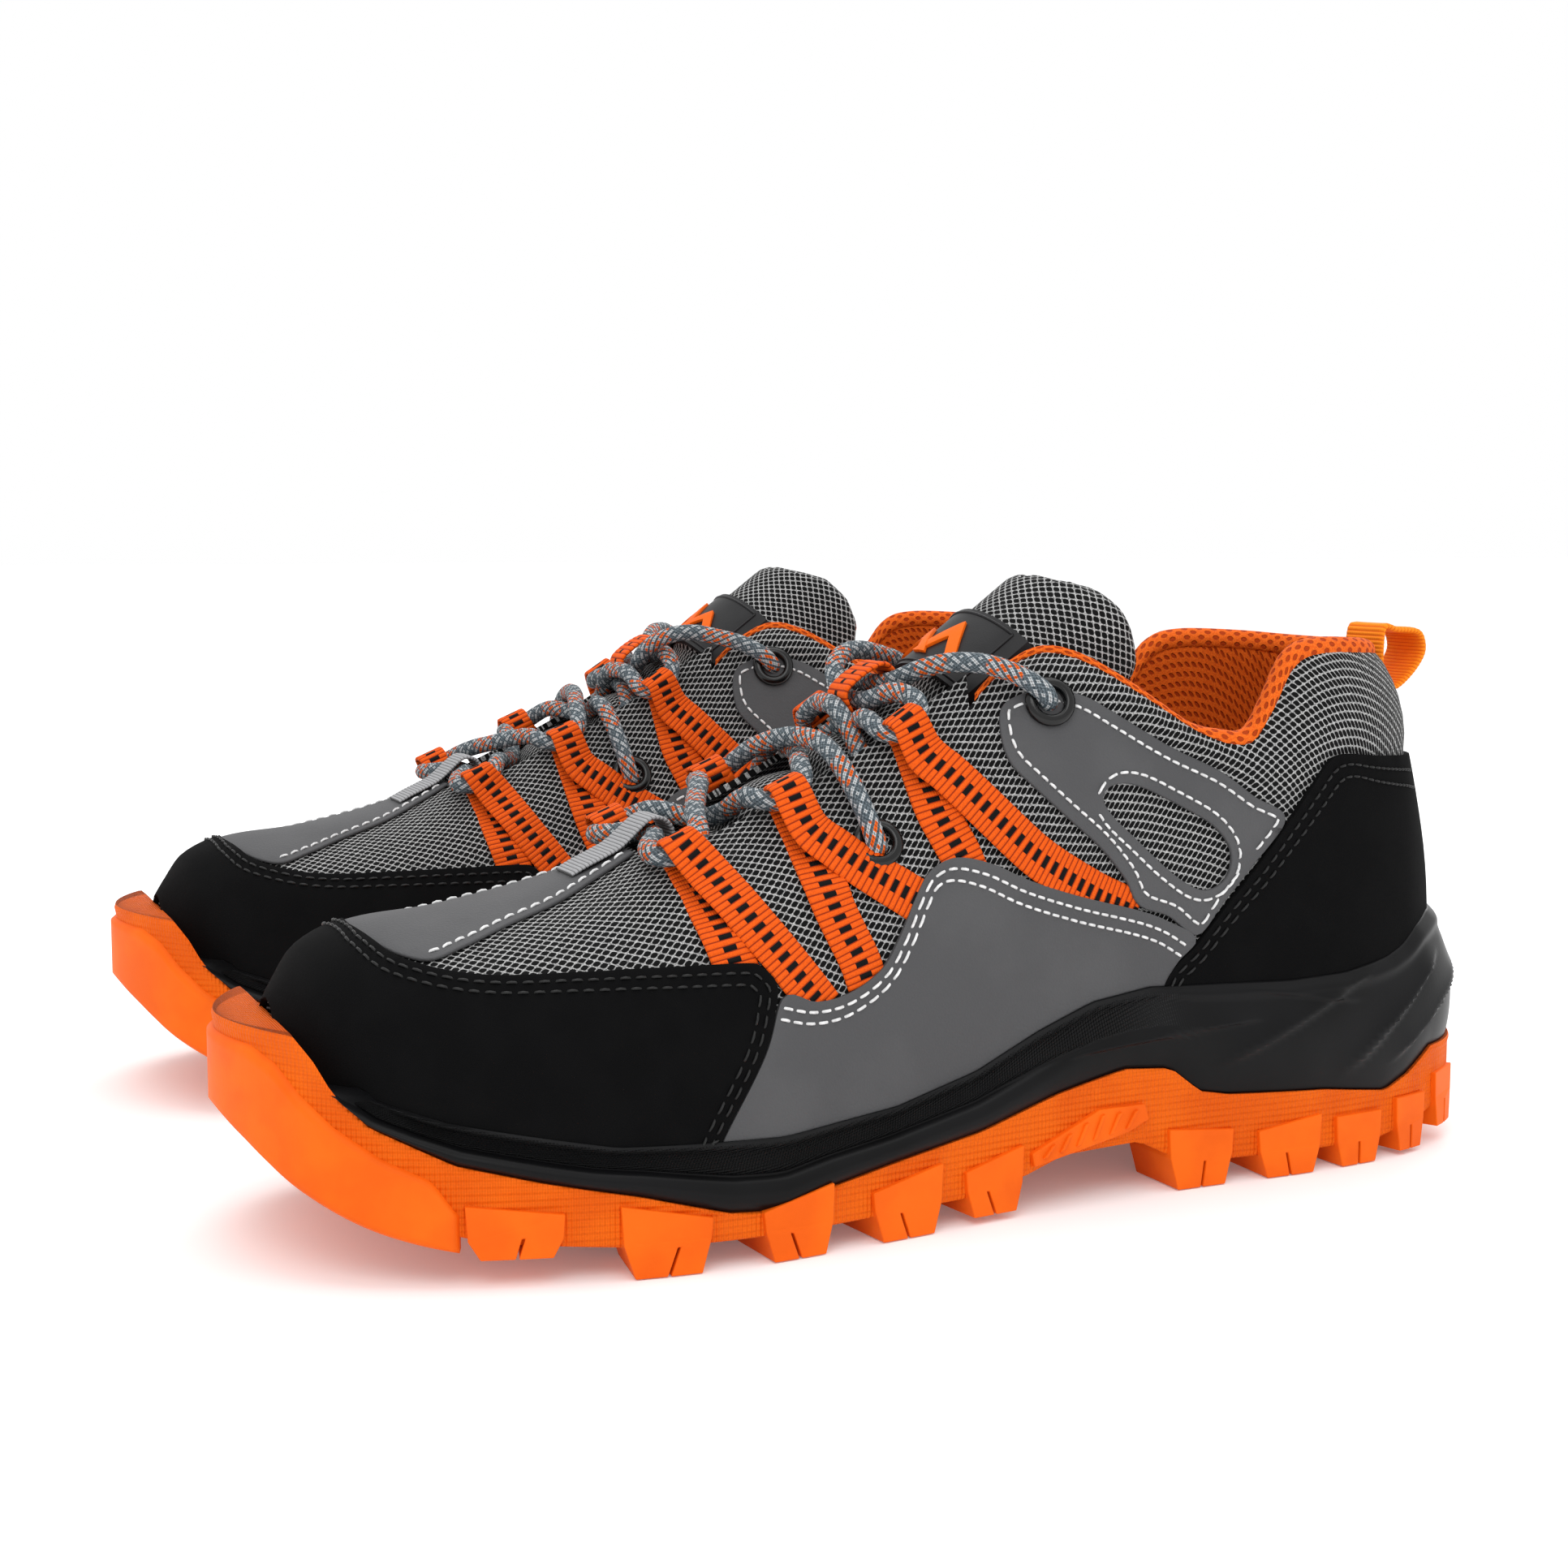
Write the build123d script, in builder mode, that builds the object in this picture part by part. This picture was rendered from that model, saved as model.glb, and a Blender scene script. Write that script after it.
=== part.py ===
"""A pair of low-cut hiking boots, each an assembly of sole, upper, tongue, webbing loops and lace.

Frame of the pair: toes point to -X, heels to +X, +Z is up, the tread rests on Z = 0, and the left
boot stands on the -Y side. Each boot is modelled about its own middle plane (Y = 0, outer side at
-Y) as a left boot. The right boot is its mirror image.
"""

import math
import os
from functools import cache

from build123d import *

os.makedirs("parts", exist_ok=True)

# ---- driving dimensions, mm ------------------------------------------------------------------
BOOT_SPACING = 149.0        # between the middle planes of the two boots
MESH = 1.6                  # thickness of the knitted upper
OVERLAY = 1.1               # thickness of the nubuck and synthetic overlays
STIFFENER = 1.0             # toe puff and heel counter
PADDING = 3.3               # collar foam
LINING = 1.2                # thickness of the air-mesh lining
BOARD = 2.0                 # insole board
FOOTBED = 5.0               # removable insole
SHEET_GAP = 0.1             # between sheets that lie on each other
FLOOR_GAP = 0.4             # between the layers under the foot
FOOT_TOP = MESH + SHEET_GAP + BOARD + FOOTBED + 2 * FLOOR_GAP  # top of the footbed over the sole plane
TONGUE = 4.8                # thickness of the padded tongue
LACE_ROOM = 5.4             # the tongue lies this much lower than the eyestays
LACE = 4.6                  # diameter of the round lace
LACE_CLEAR = 0.2            # room round it in the pieces that it runs through
LOOP_WIDTH = 5.6            # of a webbing loop where the lace turns in it
WEBBING_THICK = 1.0
LOOP_BORE = 3.3             # inner radius of a webbing loop round the lace
LOOP_HEIGHT = 4.4           # middle of that loop above the upper
EYELET_BORE = 3.1
EYELET_WALL = 0.4
EYELET_RING = 5.0
FLAP_RADIUS = 21.5          # the tongue's upper end bends round the ankle
FLAP_THICK = 6.0
FLAP_LEG = 13.0             # straight part of the bend on each side
FLAP_RISE = 6.3             # its outer face over the hinge line
FLAP_SLOPE = math.radians(37)
FLAP_ROOM = 0.9             # between it and the collar
LABEL_THICK = 1.8
AGLET_LENGTH = 14.0
PULL_LOOP_WIDTH = 15.0
PULL_LOOP_THICK = 1.6

# The upper's outer surface as sections across the boot, toe to heel: place along the boot, half
# width on the outer and inner side, height of the sole plane, of the widest line and of the ridge,
# and how full the curve from the widest line to the ridge is (0.55 is an ellipse).
SECTIONS = [
    (-139, 9, 9, 38.0, 41, 50, 0.615),
    (-136, 17, 17, 36.5, 39, 54, 0.615),
    (-131, 26, 26, 34.5, 37, 60, 0.64),
    (-120, 37, 37, 29.5, 33, 64, 0.665),
    (-100, 46, 44, 23.5, 28, 66, 0.665),
    (-75, 50, 46, 18.5, 26, 72, 0.64),
    (-50, 49.5, 43, 16.5, 27, 84, 0.585),
    (-25, 45.5, 38.5, 18.5, 30, 98, 0.55),
    (0, 42, 35.5, 22.5, 34, 114, 0.615),
    (25, 39.5, 34.5, 28.0, 38, 131, 0.71),
    (50, 38, 35, 30.5, 42, 148, 0.765),
    (75, 37.5, 35.5, 32.0, 44, 158, 0.765),
    (100, 36, 35, 33.0, 45, 152, 0.71),
    (120, 30.5, 30.5, 34.5, 46, 126, 0.69),
    (133, 21, 21, 36.0, 48, 92, 0.665),
    (139, 13, 13, 37.0, 49, 68, 0.64),
    (143, 6, 6, 38.0, 49, 54, 0.64),
]
HALF_LENGTH = 141.0
NARROW_END = 20.0           # sections thinner than this are left off volumes deep inside
DEEP = -3.0
DEEP_FLOOR = 0.3            # and their floor rises only by this share of the shrinking

# Side-view lines, each a list of (place along the boot, height).
TOPLINE = [
    (2, 101), (9, 108.5), (16, 114.5), (25, 119), (33, 117.5), (44, 111), (58, 102), (67, 98.5),
    (74, 99), (80, 107), (86, 115.5), (94, 118.3), (110, 118), (128, 116.5), (150, 116),
]
FEATHER_LINE = [
    (-136, 39), (-127, 36.5), (-113, 32), (-82, 26), (-47, 24.5), (-20, 27), (0, 32), (16, 39),
    (30, 44), (45, 46), (83, 44.5), (99, 45), (112, 47), (124, 51), (145, 52),
]
SOLE_LINE = [
    (-134, 38), (-128, 31.5), (-113, 24), (-97, 20), (-78, 16), (-60, 11), (-48, 10), (-38, 13),
    (-22, 16), (0, 19.5), (20, 25), (38, 28.5), (50, 27.5), (58, 21.5), (66, 20), (92, 18.5),
    (111, 16), (119, 19), (128, 24), (140, 24),
]
TREAD_LINE = [
    (-152, 35), (-147, 28), (-139, 20), (-125, 12.5), (-105, 8), (-75, 5.5), (-40, 5), (0, 5.5),
    (12, 8), (22, 11), (42, 11.5), (51, 7), (62, 5), (108, 4.5), (125, 7.5), (140, 11.5), (153, 16.5),
]
SOLE_TOP = [(-156, 49), (-140, 48.3), (-137, 44), *SOLE_LINE, (156, 24)]  # top of the orange sole
# Plan of the sole: place along the boot, half width outside, half width inside.
SOLE_PLAN = [
    (-140, 27, 28), (-121, 41, 41.5), (-90, 50.5, 48.5), (-60, 53.5, 50), (-30, 50.5, 45),
    (0, 46, 40), (30, 42, 37.5), (60, 40.5, 38.5), (90, 40, 39.5), (120, 35, 35.5), (140, 23, 23.5),
]
SOLE_TOE = -150.0
SOLE_HEEL = 151.0

# Tread blocks: middle along the boot, length at the ground, height of the ground face.
EDGE_LUGS = [
    (-102, 16, 5.5), (-73, 16, 0), (-45, 14, 0), (-19, 15, 0), (3, 13, 1.5),
    (58, 15, 0), (82, 15, 0), (102, 12, 0), (119, 9, 1.0), (134, 9, 4.0),
]
MIDDLE_LUGS = [(-88, 12, 2.5), (-59, 12, 0), (-32, 12, 0), (-8, 10, 0.5), (70, 12, 0), (92, 12, 0)]
LUG_DEPTH = 15.0            # from the sole's edge inwards
LUG_PROUD = 1.8             # beyond the sole's edge
LUG_ROOT = 1.6              # how far a block reaches into the sole
LUG_TAPER = 1.2
SOLE_PROUD = 0.6            # the orange sole stands out from the midsole

# Where the hardware sits on the outer side: (place along the boot, distance from the middle).
LOOPS = [(-57, 22.5), (-33, 21.5), (-5.5, 22.5)]
LOWER_EYELET = (-18, 32.6)
TOP_EYELET = (24, 30.5)
TONGUE_HINGE_X = 3.0        # the tongue bends here, under the lower edge of its label


# ---- the boot's surface ----------------------------------------------------------------------
def between(x, column):
    """A section value at any place along the boot, by a smooth curve through the sections."""
    last = len(SECTIONS) - 1
    i = max(0, min(last - 1, sum(1 for s in SECTIONS if s[0] <= x) - 1))
    x0, x1 = SECTIONS[i][0], SECTIONS[i + 1][0]
    v0, v1 = SECTIONS[i][column], SECTIONS[i + 1][column]
    before, after = SECTIONS[max(0, i - 1)], SECTIONS[min(last, i + 2)]
    slope0 = (v1 - before[column]) / (x1 - before[0])
    slope1 = (after[column] - v0) / (after[0] - x0)
    t = max(0.0, min(1.0, (x - x0) / (x1 - x0)))
    rise = (2 * t**3 - 3 * t**2 + 1) * v0 + (3 * t**2 - 2 * t**3) * v1
    return rise + (x1 - x0) * ((t**3 - 2 * t**2 + t) * slope0 + (t**3 - t**2) * slope1)


def arch(share, fullness):
    """Height share of the roof curve at a share of the half width, from 1 at the ridge to 0."""
    low, high = 0.0, 1.0
    for _ in range(30):
        t = (low + high) / 2
        reach = (1 - t) ** 3 + 3 * t * (1 - t) ** 2 + 3 * fullness * t**2 * (1 - t)
        low, high = (t, high) if reach > share else (low, t)
    return 3 * fullness * t * (1 - t) ** 2 + 3 * t**2 * (1 - t) + t**3


def roof(x, y):
    """Height of the upper's outer surface over a point of the plan; outer side at -Y."""
    half = between(x, 1) if y < 0 else between(x, 2)
    shoulder, ridge = between(x, 4), between(x, 5)
    return shoulder + (ridge - shoulder) * arch(min(1.0, abs(y) / half), between(x, 6))


def normal(x, y):
    """Outward direction of the upper's surface."""
    step = 0.5
    slope_x = (roof(x + step, y) - roof(x - step, y)) / (2 * step)
    slope_y = (roof(x, y + step) - roof(x, y - step)) / (2 * step)
    return Vector(-slope_x, -slope_y, 1).normalized()


def on_upper(x, y, lift):
    """A point that stands the given distance off the upper's outer surface."""
    return Vector(x, y, roof(x, y)) + normal(x, y) * lift


def spot(x, y, lift):
    """The same on both sides of the boot: the inner side is narrower, so y shrinks with it."""
    return on_upper(x, y * between(x, 2) / between(x, 1) if y > 0 else y, lift)


def inside_wall(x, z, depth, side):
    """A point inside the boot at a height, the given depth in from the upper's outer surface."""
    half = between(x, 1) if side < 0 else between(x, 2)
    shoulder, ridge = between(x, 4), between(x, 5)
    share = max(0.0, (z - shoulder) / (ridge - shoulder))
    return Vector(x, side * (half * arch(share, between(x, 6)) - depth), z)


@cache
def last_body(grow):
    """The boot's whole closed volume, grown or shrunk by a sheet thickness."""
    with BuildPart() as body:
        for x, outer, inner, sole, shoulder, ridge, fullness in SECTIONS:
            if grow < DEEP and min(outer, inner) < NARROW_END:
                continue
            sole_z = sole - grow * (DEEP_FLOOR if grow < DEEP else 1)
            ridge_z = ridge + grow
            shoulder = max(shoulder, sole_z + 2)
            outer_y, inner_y = -(outer + grow), inner + grow
            pull_z = shoulder + fullness * (ridge_z - shoulder)
            with BuildSketch(Plane.YZ.offset(x * (1 + grow / HALF_LENGTH))):
                with BuildLine():
                    Line((outer_y, sole_z), (outer_y, shoulder))
                    Bezier((outer_y, shoulder), (outer_y, pull_z),
                           (outer_y * fullness, ridge_z), (0, ridge_z))
                    Bezier((0, ridge_z), (inner_y * fullness, ridge_z),
                           (inner_y, pull_z), (inner_y, shoulder))
                    Line((inner_y, shoulder), (inner_y, sole_z))
                    Line((inner_y, sole_z), (outer_y, sole_z))
                make_face()
        loft()
    return body.part


def side_slab(top, bottom, toe, heel):
    """A slab across the boot between two side-view lines."""
    with BuildPart() as slab:
        with BuildSketch(Plane.XZ):
            with BuildLine():
                Spline(*bottom)
                Line(bottom[-1], top[-1])
                Spline(*top)
                Line(top[0], bottom[0])
            make_face()
        extrude(amount=80, both=True)
        with Locations(((toe + heel) / 2, 0, 60)):
            Box(heel - toe, 160, 260, mode=Mode.INTERSECT)
    return slab.part


@cache
def sole_block(grow):
    """The sole's plan, grown or shrunk, as a tall block."""
    outer = [(x, -(y + grow)) for x, y, _ in SOLE_PLAN]
    inner = [(x, y + grow) for x, _, y in SOLE_PLAN]
    around = [(SOLE_TOE - grow, 0), *outer, (SOLE_HEEL + grow, 0), *reversed(inner)]
    with BuildPart() as block:
        with BuildSketch():
            with BuildLine():
                Spline(*around, periodic=True)
            make_face()
        extrude(amount=70)
    return block.part


def floor_line(lift):
    """The sole plane under the foot, raised by a distance, from toe to heel."""
    return [(x, sole + lift) for x, _, _, sole, *_ in SECTIONS]


@cache
def shell(outside, inside):
    """The sheet between two sizes of the boot's volume."""
    with BuildPart() as sheet:
        add(last_body(outside))
        add(last_body(inside), mode=Mode.SUBTRACT)
    return sheet.part


def outline_block(points, side):
    """A side-view outline as a block over the outer half (-1), the inner half (+1) or both (0)."""
    with BuildPart() as block:
        with BuildSketch(Plane.XZ):
            with BuildLine():
                Polyline(*points, close=True)
            make_face()
        if side == 0:
            extrude(amount=80, both=True)
        else:
            extrude(amount=-80 * side)
    return block.part


def plan_block(points, bottom, top=200.0):
    """A plan outline as a block between two heights."""
    with BuildPart() as block:
        with BuildSketch(Plane.XY.offset(bottom)):
            with BuildLine():
                Polyline(*points, close=True)
            make_face()
        extrude(amount=top - bottom)
    return block.part


def sewn_panel(label, sheet, *limits, cut=()):
    """A sheet piece: what of the sheet lies inside every limit and outside every cut."""
    with BuildPart() as panel:
        add(sheet)
        for block in limits:
            add(block, mode=Mode.INTERSECT)
        for block in cut:
            add(block, mode=Mode.SUBTRACT)
    panel.part.label = label
    return panel.part


def eyelet_plane(place, side):
    """The plane of an eyelet, looking outwards: side -1 is the outer side."""
    x, y = place
    base = spot(x, side * y, 0)
    return Plane(origin=base, z_dir=(spot(x, side * y, 5) - base).normalized())


@cache
def eyelet_bores(radius):
    """All four eyelet holes as rods through the upper."""
    with BuildPart() as rods:
        for place in (LOWER_EYELET, TOP_EYELET):
            for side in (-1, 1):
                with BuildSketch(eyelet_plane(place, side)):
                    Circle(radius)
                extrude(amount=9, both=True)
    return rods.part


# ---- cutters shared by several pieces --------------------------------------------------------
@cache
def above_topline(lift):
    """Everything over the collar's edge."""
    line = [(x, z + lift) for x, z in TOPLINE]
    with BuildPart() as block:
        with BuildSketch(Plane.XZ):
            with BuildLine():
                Spline(*line)
                Polyline(line[-1], (150, 230), (2, 230), line[0])
            make_face()
        extrude(amount=80, both=True)
    return block.part


def throat(half_front, half_back, toe, back=60.0, bottom=60.0):
    """The gap between the eyestays, wider towards the ankle."""
    half_end = half_back + back * 0.1
    points = [
        (toe, -half_front * 0.55), (toe + 9, -half_front), (0, -half_back), (back, -half_end),
        (back, half_end), (0, half_back), (toe + 9, half_front), (toe, half_front * 0.55),
    ]
    return plan_block(points, bottom)


def flap_plane():
    """Across the tongue at its bend: local X is the boot's Y, local Y is outwards, Z is up the leg."""
    origin = on_upper(TONGUE_HINGE_X, 0, -LACE_ROOM - MESH - TONGUE / 2)
    along = Vector(math.cos(FLAP_SLOPE), 0, math.sin(FLAP_SLOPE))
    return Plane(origin=origin, x_dir=(0, 1, 0), z_dir=along)


@cache
def flap_tube(grow, thickness):
    """The tongue's upper end as a U-shaped gutter that wraps round the ankle."""
    outer = FLAP_RADIUS + grow
    inner = max(0.0, outer - thickness)
    with BuildPart() as tube:
        with BuildSketch(flap_plane().offset(-20)):
            with Locations((0, FLAP_RISE - FLAP_RADIUS)):
                Circle(outer)
                with Locations((0, -FLAP_LEG / 2)):
                    Rectangle(2 * outer, FLAP_LEG)
                if inner:
                    Circle(inner, mode=Mode.SUBTRACT)
                    with Locations((0, -FLAP_LEG)):
                        Rectangle(2 * inner, 2 * FLAP_LEG, mode=Mode.SUBTRACT)
            with Locations((0, FLAP_RISE - FLAP_RADIUS - FLAP_LEG - 20)):
                Rectangle(90, 40, mode=Mode.SUBTRACT)
        extrude(amount=90)
    return tube.part


# ---- sole ------------------------------------------------------------------------------------
def make_midsole():
    """Black midsole wall and wedge, dished for the upper."""
    with BuildPart() as midsole:
        add(sole_block(0))
        add(side_slab([*FEATHER_LINE, (154, 44)], [*SOLE_LINE, (154, 22)], -140, 156),
            mode=Mode.INTERSECT)
        seam = [(x, z + FLOOR_GAP / 2) for x, z in SOLE_TOP]
        add(side_slab(seam, TREAD_LINE, -156, 156), mode=Mode.SUBTRACT)
        add(last_body(OVERLAY + SHEET_GAP), mode=Mode.SUBTRACT)
    return midsole.part


def tread_height(x):
    """Height of the sole's underside between the tread blocks."""
    for (x0, z0), (x1, z1) in zip(TREAD_LINE, TREAD_LINE[1:]):
        if x0 <= x <= x1:
            return z0 + (z1 - z0) * (x - x0) / (x1 - x0)
    return TREAD_LINE[-1][1]


def lug_prisms(lugs):
    """Tread blocks as ribs across the sole, narrower at the ground."""
    with BuildPart() as ribs:
        for middle, length, ground in lugs:
            half = length / 2
            root = max(tread_height(middle - half), tread_height(middle + half)) + LUG_ROOT
            with BuildSketch(Plane.XZ):
                with BuildLine():
                    Polyline((middle - half, ground), (middle + half, ground),
                             (middle + half + LUG_TAPER, root), (middle - half - LUG_TAPER, root), close=True)
                make_face()
            extrude(amount=70, both=True)
    return ribs.part


def make_outsole():
    """Orange rubber sole: tread blocks below, toe bumper turned up in front."""
    with BuildPart() as edge_lugs:
        add(sole_block(LUG_PROUD))
        add(sole_block(-LUG_DEPTH), mode=Mode.SUBTRACT)
        add(lug_prisms(EDGE_LUGS), mode=Mode.INTERSECT)
    with BuildPart() as middle_lugs:
        add(sole_block(-LUG_DEPTH - 4))
        add(lug_prisms(MIDDLE_LUGS), mode=Mode.INTERSECT)
    with BuildPart() as outsole:
        add(sole_block(SOLE_PROUD))
        add(side_slab(SOLE_TOP, TREAD_LINE, -153, 156), mode=Mode.INTERSECT)
        add(last_body(OVERLAY + SHEET_GAP), mode=Mode.SUBTRACT)
        add(edge_lugs.part)
        add(middle_lugs.part)
    return outsole.part


def make_under_foot(label, shrink, low, high):
    """A layer under the foot: the board or the footbed."""
    with BuildPart() as layer:
        add(last_body(-shrink))
        add(side_slab(floor_line(high), floor_line(low), -150, 150), mode=Mode.INTERSECT)
    layer.part.label = label
    return layer.part


# ---- upper -----------------------------------------------------------------------------------
def make_upper_pieces():
    """Knitted upper, lining, stiffeners, collar foam and collar edge."""
    over_collar = above_topline(0)
    eyestay_gap = throat(16.0, 18.5, -62)
    under_eyestay = throat(31.0, 39.0, -68, 14, 62)
    bores = eyelet_bores(EYELET_BORE + EYELET_WALL + SHEET_GAP)
    label_room = SHEET_GAP + LABEL_THICK + FLAP_ROOM
    flap_room = flap_tube(label_room, label_room + 40)
    inside_1 = MESH + SHEET_GAP
    inside_2 = inside_1 + PADDING + SHEET_GAP
    under_board = side_slab(floor_line(inside_1 + BOARD + 2 * FLOOR_GAP), floor_line(-30), -150, 150)
    stiff = shell(-inside_1, -inside_1 - STIFFENER)
    foam = shell(-inside_1, -inside_1 - PADDING)
    lining = shell(-inside_2, -inside_2 - LINING)
    collar_band = [(15, 119), (34, 92), (60, 80), (100, 88), (150, 100), (150, 140), (15, 140)]
    edge_band = above_topline(SHEET_GAP)
    edge_over = above_topline(3.2)
    edge = shell(0.6, -inside_2)
    return {
        "upper_mesh": sewn_panel("upper_mesh", shell(0, -MESH), cut=(over_collar, eyestay_gap, bores)),
        "toe_puff": sewn_panel("toe_puff", stiff,
                               plan_block([(-150, -70), (-88, -70), (-84, 0), (-88, 70), (-150, 70)], 0),
                               cut=(under_board,)),
        "heel_counter": sewn_panel("heel_counter", stiff,
                                   outline_block([(70, 20), (95, 78), (150, 78), (150, 20)], 0),
                                   cut=(under_board,)),
        "collar_padding": sewn_panel("collar_padding", foam, outline_block(collar_band, 0),
                                     cut=(above_topline(-0.4), under_eyestay, flap_room, bores)),
        "lining": sewn_panel("lining", lining,
                             cut=(above_topline(-0.3), under_eyestay, under_board, flap_room, bores)),
        "collar_piping": sewn_panel("collar_piping", edge, edge_band,
                                    plan_block([(9, -70), (150, -70), (150, 70), (9, 70)], 60),
                                    cut=(edge_over, throat(18.0, 18.7, -62), flap_room)),
    }


# ---- overlays, as seen from the side: outlines about the boot's middle plane --------------------
TOE_OVERLAY = [
    (-150, 15), (-150, 75), (-122.5, 75), (-121.5, 63), (-117, 60), (-104, 57.5), (-71, 58),
    (-49, 58), (-45.5, 53), (-51, 41), (-61, 25), (-64, 15),
]
QUARTER_OVERLAY = [
    (-63, 15), (-60.5, 25), (-50.5, 41), (-45.2, 51.5), (-38, 50), (-30, 51), (-22, 55), (-17, 61),
    (-12, 69), (-8, 74), (-2, 76.5), (6, 75), (15, 71), (27, 67), (42, 63), (50, 60), (57.5, 55.5),
    (48, 45), (40, 15),
]
ANKLE_OVERLAY = [
    (12.5, 101), (14, 107), (19, 110), (25, 111), (32, 109.5), (39, 105.5), (51, 98.5), (64, 92.5),
    (73, 86.5), (81.5, 81), (72, 70.5), (65, 63.5), (58, 56.3), (50.3, 61), (42.5, 64), (39, 70),
    (33, 77), (25, 84), (18, 90.5), (13.5, 95.5),
]
ANKLE_WINDOW = [(34, 88), (37, 90.5), (43, 90), (53, 85.5), (62, 80.5), (66.5, 75), (66, 69.5),
                (62, 66.5), (57, 67), (50, 71.5), (42, 78.5), (36, 84)]
HEEL_OVERLAY = [
    (47, 15), (49, 44), (58.3, 54.8), (66, 63), (73, 70), (82.5, 80.5), (89, 88), (94, 93.3),
    (99, 94.8), (107, 94), (150, 92), (150, 15),
]
VAMP_STRIP = [(-123.2, 0), (-121.5, -12), (-117.5, -21), (-112, -25), (-104, -22.5), (-93, -18),
              (-82, -14.5), (-72, -10), (-64, -8)]
# Webbing legs from each lace loop, side view: first the front leg, then the rear leg.
WEBBING_LEGS = [
    ([(-60, 73), (-59, 59), (-49.5, 59), (-52.5, 72)], [(-59, 75), (-43, 51.5), (-31, 52), (-49, 77)]),
    ([(-37, 82), (-36, 66), (-29, 53), (-22.5, 56), (-29, 72), (-29, 84)],
     [(-36.5, 84), (-31, 74), (-15, 66), (-9.5, 73.5), (-23, 81), (-28.5, 88)]),
    ([(-11, 96), (-8, 84), (-4.5, 77.2), (5.5, 76), (3, 86), (-0.5, 96)],
     [(-10.5, 98), (0, 88), (12, 78), (22, 70.5), (40, 64.5), (33, 72), (20, 85), (5, 98), (-1, 102)]),
]


def make_overlays():
    """Nubuck and synthetic pieces sewn on the mesh, all in one layer that doesn't overlap."""
    layer = shell(OVERLAY, SHEET_GAP / 2)
    bores = eyelet_bores(EYELET_BORE + EYELET_WALL + SHEET_GAP)
    over_collar = above_topline(0)
    toe = outline_block(TOE_OVERLAY, 0)
    strip = plan_block(VAMP_STRIP + [(x, -y) for x, y in reversed(VAMP_STRIP[1:])], 40)
    pieces = {
        "toe_overlay": sewn_panel("toe_overlay", layer, toe),
        "vamp_strip": sewn_panel("vamp_strip", layer, strip, cut=(toe,)),
        "heel_overlay": sewn_panel("heel_overlay", layer, outline_block(HEEL_OVERLAY, 0)),
    }
    for side, hand in ((-1, "outer"), (1, "inner")):
        pieces[f"quarter_overlay_{hand}"] = sewn_panel(
            "quarter_overlay", layer, outline_block(QUARTER_OVERLAY, side))
        pieces[f"ankle_overlay_{hand}"] = sewn_panel(
            "ankle_overlay", layer, outline_block(ANKLE_OVERLAY, side),
            cut=(outline_block(ANKLE_WINDOW, side), over_collar, bores))
    return pieces


def loop_axis(x, y):
    """Direction in which the lace runs through a webbing loop: along the boot."""
    return (spot(x + 3, y, 0) - spot(x - 3, y, 0)).normalized()


def make_webbing():
    """Six lace loops, each a rolled end over two webbing legs sewn down the side."""
    layer = shell(WEBBING_THICK, SHEET_GAP / 2)
    lifted = last_body(SHEET_GAP / 2)
    quarter = [outline_block(QUARTER_OVERLAY, 0), outline_block(ANKLE_OVERLAY, 0),
               outline_block(TOE_OVERLAY, 0), throat(16.3, 18.8, -62)]
    bores = eyelet_bores(EYELET_RING + 0.4)
    loops = []
    for (x, reach), (front, rear) in zip(LOOPS, WEBBING_LEGS):
        for side in (-1, 1):
            centre = spot(x, side * reach, LOOP_HEIGHT)
            across = Plane(origin=centre, z_dir=loop_axis(x, side * reach))
            with BuildPart() as legs:
                add(outline_block(front, side))
                add(outline_block(rear, side))
                add(layer, mode=Mode.INTERSECT)
                for block in quarter:
                    add(block, mode=Mode.SUBTRACT)
                add(bores, mode=Mode.SUBTRACT)
            with BuildPart() as roll:
                with BuildSketch(across):
                    Circle(LOOP_BORE + WEBBING_THICK + 0.4)
                    Circle(LOOP_BORE, mode=Mode.SUBTRACT)
                extrude(amount=LOOP_WIDTH / 2, both=True)
                add(lifted, mode=Mode.SUBTRACT)
            with BuildPart() as loop:
                add(legs.part)
                add(roll.part)
            loops.append(loop.part)
    return Compound(children=loops)


def make_eyelets():
    """Four flanged eyelets through the upper."""
    rings = []
    for place, base in ((LOWER_EYELET, SHEET_GAP), (TOP_EYELET, OVERLAY + SHEET_GAP)):
        for side in (-1, 1):
            plane = eyelet_plane(place, side)
            with BuildPart() as ring:
                with BuildSketch(plane.offset(base)):
                    Circle(EYELET_RING)
                    Circle(EYELET_BORE, mode=Mode.SUBTRACT)
                extrude(amount=1.0)
                with BuildSketch(plane.offset(base)):
                    Circle(EYELET_BORE + EYELET_WALL)
                    Circle(EYELET_BORE, mode=Mode.SUBTRACT)
                extrude(amount=-base - MESH)
            rings.append(ring.part)
    return Compound(children=rings)


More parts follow.
